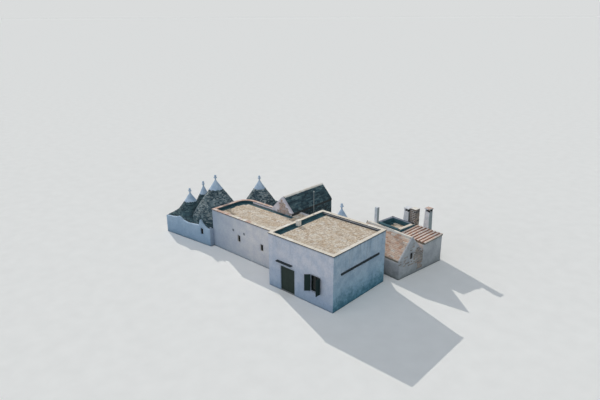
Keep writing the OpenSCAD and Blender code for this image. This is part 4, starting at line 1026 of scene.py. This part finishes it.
# A ball on a short neck; under it a disc, or on the small cone a second, larger ball
discPart = [(0.064, 0.09), (0.064, 0.215), (0.10, 0.230), (0.158, 0.240), (0.168, 0.280), (0.158, 0.318),
            (0.10, 0.328)]
heap = Heap()
for name, cone in cones.items():
    lower = [(0.062, 0.14)] + ballProfile(0.135, 0.26, 0.145, 0.365) if name == "Small" else discPart
    profile = [(0.086, -0.01), (0.070, 0.03)] + lower + ballProfile(0.105, 0.455, 0.372, 0.559)
    addTurned(heap, cone["at"], [(r, cone["bed"] + cone["h"] + z) for r, z in profile], 24, 0.004)
makePiece("PinnaclesPlaster", heap, [capPlaster], "plaster", replaces=["pinnacles"], smooth=True)


def clearOf(*names):
    return lambda p: all(math.dist(p, cones[n]["at"]) > cones[n]["r"] - 0.05 for n in names)


# Rough slabs on the beds between the cones
bedStones = {"rows": (0.22, 0.36), "lengths": (0.25, 0.5), "gap": 0.02, "wander": 0.02, "tilt": 0.03,
             "rise": 0.012, "uneven": 0.03, "worn": 0.014, "deck": 1.75}
rearBed = {**bedStones, "deck": 2.15}
heap = Heap()
pave(heap, (-16.10, 1.1), (-9.42, 6.99), bedStones, lines=wingLines, keep=clearOf("Front", "Big", "Small"))
pave(heap, (-11.99, 7.01), (-8.51, 10.49), rearBed, keep=clearOf("Rear"))
pave(heap, (-0.74, 6.60), (2.59, 9.89), rearBed, keep=clearOf("Yard"))
makePiece("BedStones", heap, [darkStone], "dry_stone")
print("trulli done")


# Rear rooms: limewashed faces of the trulli, the link, the gable house, the rear wing and the annexes

heap = Heap()
addPlaster(heap, box(-12.0, 7.0, -8.5, 10.5), 2.15, closed=True)
addPlaster(heap, [(2.60, 6.58), (2.60, 9.90), (-0.75, 9.90), (-0.75, 8.50)], 2.15)
addPlaster(heap, [(-0.75, 6.58), (-0.75, 8.50), (-1.70, 8.50), (-1.70, 7.10), (-2.95, 7.10)],
           [3.43, 3.50, 3.50, 3.50], over={"walls": [False, True, True, True], "thick": 0.25, "floor": 3.42})
makePiece("RearTrulliAndLinkLimewash", heap, [limeRear], **plastered)

heap = Heap()
addPlaster(heap, box(-5.45, 5.80, -2.95, 11.50),
           [[(0, 3.68), (0.5, 4.98), (1, 3.68)], [(0, 3.68), (0.0526, 3.68), (0.054, 3.52), (1, 3.52)],
            [(0, 3.52), (0.5, 4.82), (1, 3.52)], [(0, 3.52), (0.946, 3.52), (0.9474, 3.68), (1, 3.68)]],
           closed=True, feet=[3.42, 0.0, 0.0, 0.0], mat=[0, 1, 0, 0],
           over={"walls": [True, False, False, False], "thick": 0.29, "down": 0.05})
makePiece("GableHouseLimewash", heap, [limeGable, gapDark], **plastered)

# The terrace's crest stands 12 mm over the solid's top, so its walls end a little lower
terrace = {"u": (-0.35, 2.25), "v": (1.55, 3.80), "top": 2.742, "floor": 2.33, "thick": 0.30,
           "mats": [(1, 1), (2, 1), (3, 1), (3, 1)]}
annex = {"u": (2.25, 4.95), "v": (1.55, 4.15), "low": 2.40, "high": 2.55, "slab": 0.11}
t = terrace["thick"]
(u0, u1), (v0, v1) = terrace["u"], terrace["v"]
low, high = annex["low"] - annex["slab"], annex["high"] - annex["slab"]
heap = Heap()
addPlaster(heap, [(0.10, -1.55), (4.95, -1.55), (4.95, 1.55)], [1.51, [(0, 1.69), (0.5, 3.44), (1, 1.69)]],
           holes=[(1, 1.375, 1.725, 1.42, 2.02)], place=onSide,
           over={"walls": [False, True], "thick": 0.14, "down": 0.07})
# painted shade: the terrace takes the dark teal wash on its front and right outer faces, on all inner faces
# and on the front top
addPlaster(heap, box(u0, v0, u1, v1), terrace["top"], closed=True, feet=[1.5, 2.35, 0.0, 0.0],
           mat=[1, 1, 0, 0], place=onSide,
           over={"walls": [True] * 4, "thick": t, "floor": terrace["floor"], "mats": terrace["mats"]})
(a0, a1), (b0, b1) = annex["u"], annex["v"]
addPlaster(heap, [(u1, v0), (a1, v0), (a1, b1), (u1, b1), (u1, v1)],
           [low, [(0, low), (1, high)], high, high], feet=[1.5, 0.0, 0.0, 0.0], place=onSide)
makePiece("RearWingLimewash", heap, [limeRear, limeShadowed, copingStone, limeGrey], **plastered)

heap = Heap()
deck = {**roofPaving, "deck": terrace["floor"]}
# painted shadow: a dark strip of paving beside the terrace's left parapet
pave(heap, (u0 + t + 0.02, v0 + t + 0.02), (u1 - t - 0.02, v1 - t - 0.02), deck,
     place=onSide, damp=lambda p: p[0] < u0 + t + 0.5)
makePiece("TerracePaving", heap, [pavingStone, pavingShadowed], "stone_paving")


# Steep stone roofs: courses of split slabs, each lapping the one below, with a mortared ridge

def stoneRoof(look, keep=lambda s, w: True):
    heap = Heap()
    half, top, pitch = look["half"], look["ridge"], look["pitch"]
    courses = round(half * pitch / look["course"])
    for slope in (-1, 1):
        def onSlope(s, out, z):
            return look["place"]([(s, slope * out, z)])[0]

        for k in range(courses):
            w0, w1 = half * (1 - k / courses), half * (1 - (k + 1) / courses)
            z0, z1 = top - pitch * w0, top - pitch * w1
            for s0, s1 in cutUp(*look["along"], look["lengths"]):
                proud = draw(*look["proud"]) * min(k, 1)
                if not keep(s0, slope * w0):
                    continue
                courseStone(heap, onSlope, (s0 + 0.004, s1 - 0.004), w0 + proud,
                            w1 + proud + 0.45 * (w0 - w1), w1 - 0.05,
                            (z0 - 0.01, z1 + draw(0.002, 0.014)), tone=chance.random())
    return heap


def onGable(points):
    p = straight(points)
    return np.stack([p[:, 1] - 4.20, p[:, 0], p[:, 2]], axis=1)


def clearOfYard(s, w):
    return onSide([(s, w, 0)])[0][0] > 2.62


gableRoof = {"half": 1.25, "ridge": 4.98, "pitch": 1.04, "course": 0.10, "lengths": (0.24, 0.5),
             "proud": (0.012, 0.035), "along": (6.11, 11.545), "place": onGable}
sideRoof = {"half": 1.55, "ridge": 3.40, "pitch": 1.129, "course": 0.11, "lengths": (0.26, 0.52),
            "proud": (0.010, 0.030), "along": (0.02, 4.80), "place": onSide}
makePiece("GableHouseRoofStones", stoneRoof(gableRoof), [darkStone], "dry_stone", worn=0.008)
makePiece("RearWingRoofStones", stoneRoof(sideRoof, clearOfYard), [redStone], "stone_paving", worn=0.008)

# Ridge stones bedded in lime, flat on top
ridgeLook = {"lengths": (0.3, 0.5), "half": 0.19, "lift": 0.04}
heap = Heap()
for start, end, roof in ((6.12, 11.54, gableRoof), (0.05, 4.79, sideRoof)):
    top = roof["ridge"]
    for s0, s1 in cutUp(start, end, ridgeLook["lengths"]):
        wide = ridgeLook["half"] + draw(-0.015, 0.015)
        rise = ridgeLook["lift"] + draw(-0.006, 0.006)
        foot, flat = top - roof["pitch"] * wide - 0.01, top + rise - 0.04
        section = [(-wide, foot), (-wide * 0.6, flat), (0, top + rise), (wide * 0.6, flat), (wide, foot),
                   (0, top - 0.05)]
        points = [(s, w, z) for s in (s0 + 0.004, s1 - 0.004) for w, z in section]
        heap.add(roof["place"](points), ringFaces(len(section), 2), tone=chance.random())
makePiece("RidgeStones", heap, [ridgeMortar], "pale_stone")

# Stones that show where the plaster is gone; the long right wall of the gable house was never plastered
rubble = {"rows": (0.10, 0.17), "lengths": (0.16, 0.34), "proud": (0.016, 0.030), "gap": 0.016,
          "missing": 0.06}
loose = {**rubble, "missing": 0.72, "proud": (0.012, 0.02)}


def underGable(s, z):
    gap = 0.1 if s > 1.25 else 0.25
    return z < 4.98 - 1.04 * abs(s - 1.25) - gap and s > 0.85 + 0.2 * math.sin(5 * z)


def onWingGable(s, out, z):
    return tuple(onSide([(4.95 + out, s, z)])[0])


def brokenCorner(s, z):
    return z < 3.32 - 1.129 * abs(s) and s > 0.55 + 0.25 * math.sin(3 * z)


def besideWindow(s, z):
    return z < 3.24 - 1.129 * abs(s) and not (abs(s) < 0.3 and 1.3 < z < 2.15) and s < 0.5


heap = Heap()
rubbleFace(heap, lambda s, out, z: (-5.45 + s, 5.80 - out, z), (0.75, 2.5), (3.45, 4.8), rubble, underGable)
makePiece("GableFrontRubble", heap, [rubbleStone], "dry_stone", worn=0.008)
heap = Heap()
rubbleFace(heap, lambda s, out, z: (-2.95 + out, s, z), (7.12, 11.48), (0.02, 3.50), rubble,
           lambda s, z: True)
makePiece("GableSideRubble", heap, [darkStone], "dry_stone", worn=0.008)
heap = Heap()
rubbleFace(heap, onWingGable, (0.3, 1.55), (0.25, 3.1), rubble, brokenCorner)
rubbleFace(heap, onWingGable, (-1.5, 1.2), (0.9, 3.2), loose, besideWindow)
makePiece("WingGableRubble", heap, [rubbleStone], "dry_stone", worn=0.008)
print("rear rooms done")


# Tiled annex: rows of half-round tiles, troughs between them and rolls over the joints

tiles = {"rolls": 8, "end": 5.01, "length": 0.42, "lap": 0.07, "roll": (0.112, 0.098),
         "trough": (0.125, 0.110), "thick": 0.014, "parts": 7, "sag": 0.4, "bulge": 0.7}
spacing = (tiles["end"] - a0) / (tiles["rolls"] - 0.5)
slope = (annex["high"] - annex["low"]) / (b1 - b0)


def addTile(heap, middleOf, span, kind, lift):
    parts = tiles["parts"]
    n = parts + 1
    points = []
    for v, r, up in zip(span, tiles[kind], lift):
        plane = annex["low"] + slope * (v - b0) + up
        for rim in (r, r - tiles["thick"]):
            for t in [math.pi * k / parts for k in range(n)]:
                high = rim * math.sin(t)
                rise = (r - high) * tiles["sag"] if kind == "trough" else high * tiles["bulge"]
                points.append((middleOf + rim * math.cos(t), v, plane + rise))
    faces = [(k, 2 * n + k, 3 * n + k, n + k) for k in (0, parts)]
    for k in range(parts):
        faces += [(k, k + 1, 2 * n + k + 1, 2 * n + k), (n + k, 3 * n + k, 3 * n + k + 1, n + k + 1),
                  (k, n + k, n + k + 1, k + 1), (2 * n + k, 2 * n + k + 1, 3 * n + k + 1, 3 * n + k)]
    heap.add(onSide(points), faces, 1 if kind == "trough" else 0, chance.random())


heap = Heap()
for k in range(tiles["rolls"]):
    u = a0 + 0.13 + k * spacing
    v, last = b0 + 0.01, 0.0
    while last < b1 - 0.02:
        last = min(v + tiles["length"], b1 - 0.01)
        wander = draw(-0.005, 0.005)
        addTile(heap, u + wander, (v, last), "roll", (0.026, 0.010))
        if k < tiles["rolls"] - 1:
            addTile(heap, u + spacing / 2 + wander, (v, last), "trough", (0.018, 0.004))
        v = last - tiles["lap"]
makePiece("AnnexRoofTiles", heap, [clayRollLit, clayTrough], "terracotta_tile")

# Chimneys with a slab cap on four posts over a sooty flue, then the pillar on the wing's roof
stackLook = {"gap": 0.22, "cap": 0.09, "lip": 0.04, "post": 0.12, "taper": 0.86, "flue": 0.09, "skin": 0.007}
heap = Heap()
for u, v, w, h, capMat in ((2.90, 4.15, 0.55, 4.40, 2), (0.87, 3.80, 0.58, 3.98, 0)):
    body = h - stackLook["gap"] - stackLook["cap"]
    narrow = w * stackLook["taper"]
    x, y = u + w / 2, v + w / 2

    def halfOf(z):
        return (w + (narrow - w) * max(0, 2 * z / body - 1)) / 2 + stackLook["skin"]

    addShaft(heap, (x, y), halfOf, (0.0, body + 0.008, body / 2), place=onSide)
    addShaft(heap, (x, y), lambda z: narrow / 2 - stackLook["flue"], (body - 0.02, h - 0.08), place=onSide,
             mat=1, corner=0.02, step=0.1)
    reach = (narrow - stackLook["post"]) / 2
    # the two posts on the right take the sooty stone: painted shade that widens the dark gap under the cap,
    # with some soot
    for px, py in ((-1, -1), (-1, 1), (1, -1), (1, 1)):
        addShaft(heap, (x + px * reach, y + py * reach), lambda z: stackLook["post"] / 2 + 0.004,
                 (body - 0.01, h - 0.085), place=onSide, mat=1 if px > 0 else 0, corner=0.016, uneven=0.002)
    r = narrow / 2 + stackLook["lip"] + 0.003
    outline = [(x - r, y - r + 0.01), (x + r - 0.012, y - r), (x + r, y + r - 0.014), (x - r + 0.01, y + r)]
    addStone(heap, outline, h - 0.093, h + 0.004, 0.014, capMat, place=onSide)
addShaft(heap, (0.70, 0.31), lambda z: 0.147, (2.6, 4.80), place=onSide, uneven=0.008)
makePiece("ChimneysAndPillarPlaster", heap, [stackPlaster, sootAndShadeStone, clayCoping], "plaster")

# Rough stack of squared stones, two by two in each course
stub = {"u": (1.65, 2.23), "v": (3.80, 4.38), "top": 4.104, "courses": 24, "joint": 0.008,
        "proud": (0.004, 0.018)}
heap = Heap()
g = stub["joint"]
for k in range(stub["courses"]):
    z0, z1 = stub["top"] * k / stub["courses"], stub["top"] * (k + 1) / stub["courses"]
    splitU = sum(stub["u"]) / 2 + draw(-0.12, 0.12)
    splitV = sum(stub["v"]) / 2 + draw(-0.12, 0.12)
    for left in (True, False):
        for near in (True, False):
            e = draw(*stub["proud"])
            x0, x1 = (stub["u"][0] - e, splitU - g) if left else (splitU + g, stub["u"][1] + e)
            y0, y1 = (stub["v"][0] - 0.3 * e, splitV - g) if near else (splitV + g, stub["v"][1] + 0.3 * e)
            addStone(heap, box(x0, y0, x1, y1), z0 + 0.004, z1 - 0.002, 0.02, 0, chance.random(), onSide)
addStone(heap, [(1.64, 3.80), (2.235, 3.79), (2.24, 4.385), (1.645, 4.38)], 4.085, 4.106, 0.012, 1,
         place=onSide)
makePiece("RoughStackStones", heap, [stackStone, ridgeMortar], "dry_stone")
print("annexes done")


# Finishes of the pieces that come from the frame

finishes = {
    floorStone: "floors",
    roomPlaster: "main_wall_right main_wall_back main_wall_left middle_wall_front middle_wall_left "
                 "middle_wall_back link_walls gable_house_walls main_parapet middle_parapet",
    mortarBed: "main_roof middle_roof main_coping middle_coping annex_roof side_wing_roof",
    limeRear: "rear_trullo_walls yard_trullo_walls gable_house_gables side_wing_walls "
              "side_wing_gables annex_walls",
    limeWing: "wing_wall_front wing_wall_left wing_wall_back wing_wall_right",
    gapDark: "wing_bed cone_front cone_big cone_small cone_rear cone_yard gable_house_roof",
    greenPaint: "window_shutters",
    doorPaint: "door_frame door_leaf_left door_leaf_right",
    framePaintShaded: "window_frame",
    clearGlass: "window_panes",
    limeMain: "window_sill main_wall_front_left main_wall_over_door main_wall_front_right",
    brownWood: "niche_windows",
    steelTube: "roof_mast",
    slabStoneShaded: "door_canopy side_ledge",
    capPlaster: "cone_caps pinnacles",
    stackPlaster: "chimneys",
}
for material, names in finishes.items():
    for name in names.split():
        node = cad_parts[name]
        node.data.materials.clear()
        node.data.materials.append(material)
print("finishes set")


# Studio: a wide pale floor, a low soft sun from behind on the left, and a cool even sky

studio = {"floor": 4000.0, "under": 0.004, "sun": 2.2, "sunWay": (-0.94, 0.34), "sunHeight": 27.0,
          "sunSoft": 0.25, "sky": 0.345, "front": 0.86, "side": 0.42, "high": 0.54,
          "wide": 50.0, "far": "#DADCDC"}


# Light that the camera sees directly, in a reflection or through glass
def seenRays(tree):
    rays = addNode(tree, "LightPath", {}).node.outputs
    some = addNode(tree, "Math", {"operation": "MAXIMUM", 0: rays["Is Camera Ray"], 1: rays["Is Glossy Ray"]})
    return addNode(tree, "Math", {"operation": "MAXIMUM", 0: some, 1: rays["Is Transmission Ray"]})


bpy.ops.mesh.primitive_circle_add(vertices=96, radius=studio["floor"], fill_type="NGON",
                                  location=(0, 0, -studio["under"]))
ground = bpy.context.object
ground.name = "StudioFloor"
material, tree, shader, place = newMaterial("StudioFloorPainted", 1.0)
speck = addNode(tree, "TexNoise", {"Vector": place, "Scale": 0.8, "Detail": 4.0})
pale = stops(tree, speck, (0.3, "#F4F4F3"), (0.7, "#F8F8F7"))
# what bounces back on the walls is as dim as from the earth round the house
tree.links.new(blend(tree, seenRays(tree), "#8C9494", pale), shader["Base Color"])
shader["Specular IOR Level"].default_value = 0.0
ground.data.materials.append(material)


def addSun(name, direction, strength, soft, colour):
    lamp = bpy.data.lights.new(name, "SUN")
    lamp.energy = strength
    lamp.angle = math.radians(soft)
    lamp.color = colour
    holder = bpy.data.objects.new(name, lamp)
    holder.rotation_euler = Vector(direction).to_track_quat("Z", "Y").to_euler()
    scene.collection.objects.link(holder)


e = math.radians(studio["sunHeight"])
wayX, wayY = studio["sunWay"]
addSun("KeySun", (wayX * math.cos(e), wayY * math.cos(e), math.sin(e)), studio["sun"], studio["sunSoft"],
       (1.0, 0.94, 0.85))
# two wide, low fills keep the shaded walls as bright as in the open
addSun("FrontFill", (-0.45, -0.85, 0.14), studio["front"], studio["wide"], (0.88, 0.93, 1.0))
addSun("SideFill", (0.95, -0.25, 0.12), studio["side"], studio["wide"], (0.74, 0.92, 1.0))
# one more from above reaches the low roofs that stand behind the main block
addSun("HighFill", (0.25, -0.45, 0.86), studio["high"], 0.8 * studio["wide"], (1.0, 0.97, 0.94))

world = bpy.data.worlds.new("SoftSky")
scene.world = world
world.use_nodes = True
tree = world.node_tree
tree.nodes.clear()
# the sky is a little warmer round the sun and greener away from it
way = addNode(tree, "TexCoord", {}).node.outputs["Generated"]
turnedTo = addNode(tree, "VectorMath", {"operation": "DOT_PRODUCT", 0: way, 1: (-0.91, 0.415, 0.0)})
share = addNode(tree, "MapRange", {0: turnedTo.node.outputs["Value"], 1: -1.0})
skyTone = blend(tree, share, "#CBE0EE", "#E2E8F4")
light = addNode(tree, "Background", {"Strength": studio["sky"], "Color": skyTone})
seen = addNode(tree, "Background", {"Color": linear(studio["far"]), "Strength": 1.0})
mixed = addNode(tree, "MixShader", {0: seenRays(tree), 1: light, 2: seen})
addNode(tree, "OutputWorld", {"Surface": mixed})

# Camera at the photo's viewing place: solved from the straight edges of the two flat-roofed blocks
view = {"at": (24.033, -29.481, 20.697), "yaw": 42.428, "down": 19.578, "roll": 0.246, "focal": 522.49,
        "width": 600, "sensor": 36.0, "clip": 9000.0}
camera = bpy.data.objects.new("Camera", bpy.data.cameras.new("Camera"))
scene.collection.objects.link(camera)
camera.data.sensor_width = view["sensor"]
camera.data.sensor_fit = "HORIZONTAL"
camera.data.lens = view["focal"] * view["sensor"] / view["width"]
camera.data.clip_end = view["clip"]
camera.location = view["at"]
aim = Euler((math.radians(90 - view["down"]), 0, math.radians(view["yaw"]))).to_matrix()
camera.rotation_euler = (aim @ Euler((0, 0, math.radians(-view["roll"]))).to_matrix()).to_euler()
scene.camera = camera
scene.view_settings.view_transform = "Standard"
print("studio done")
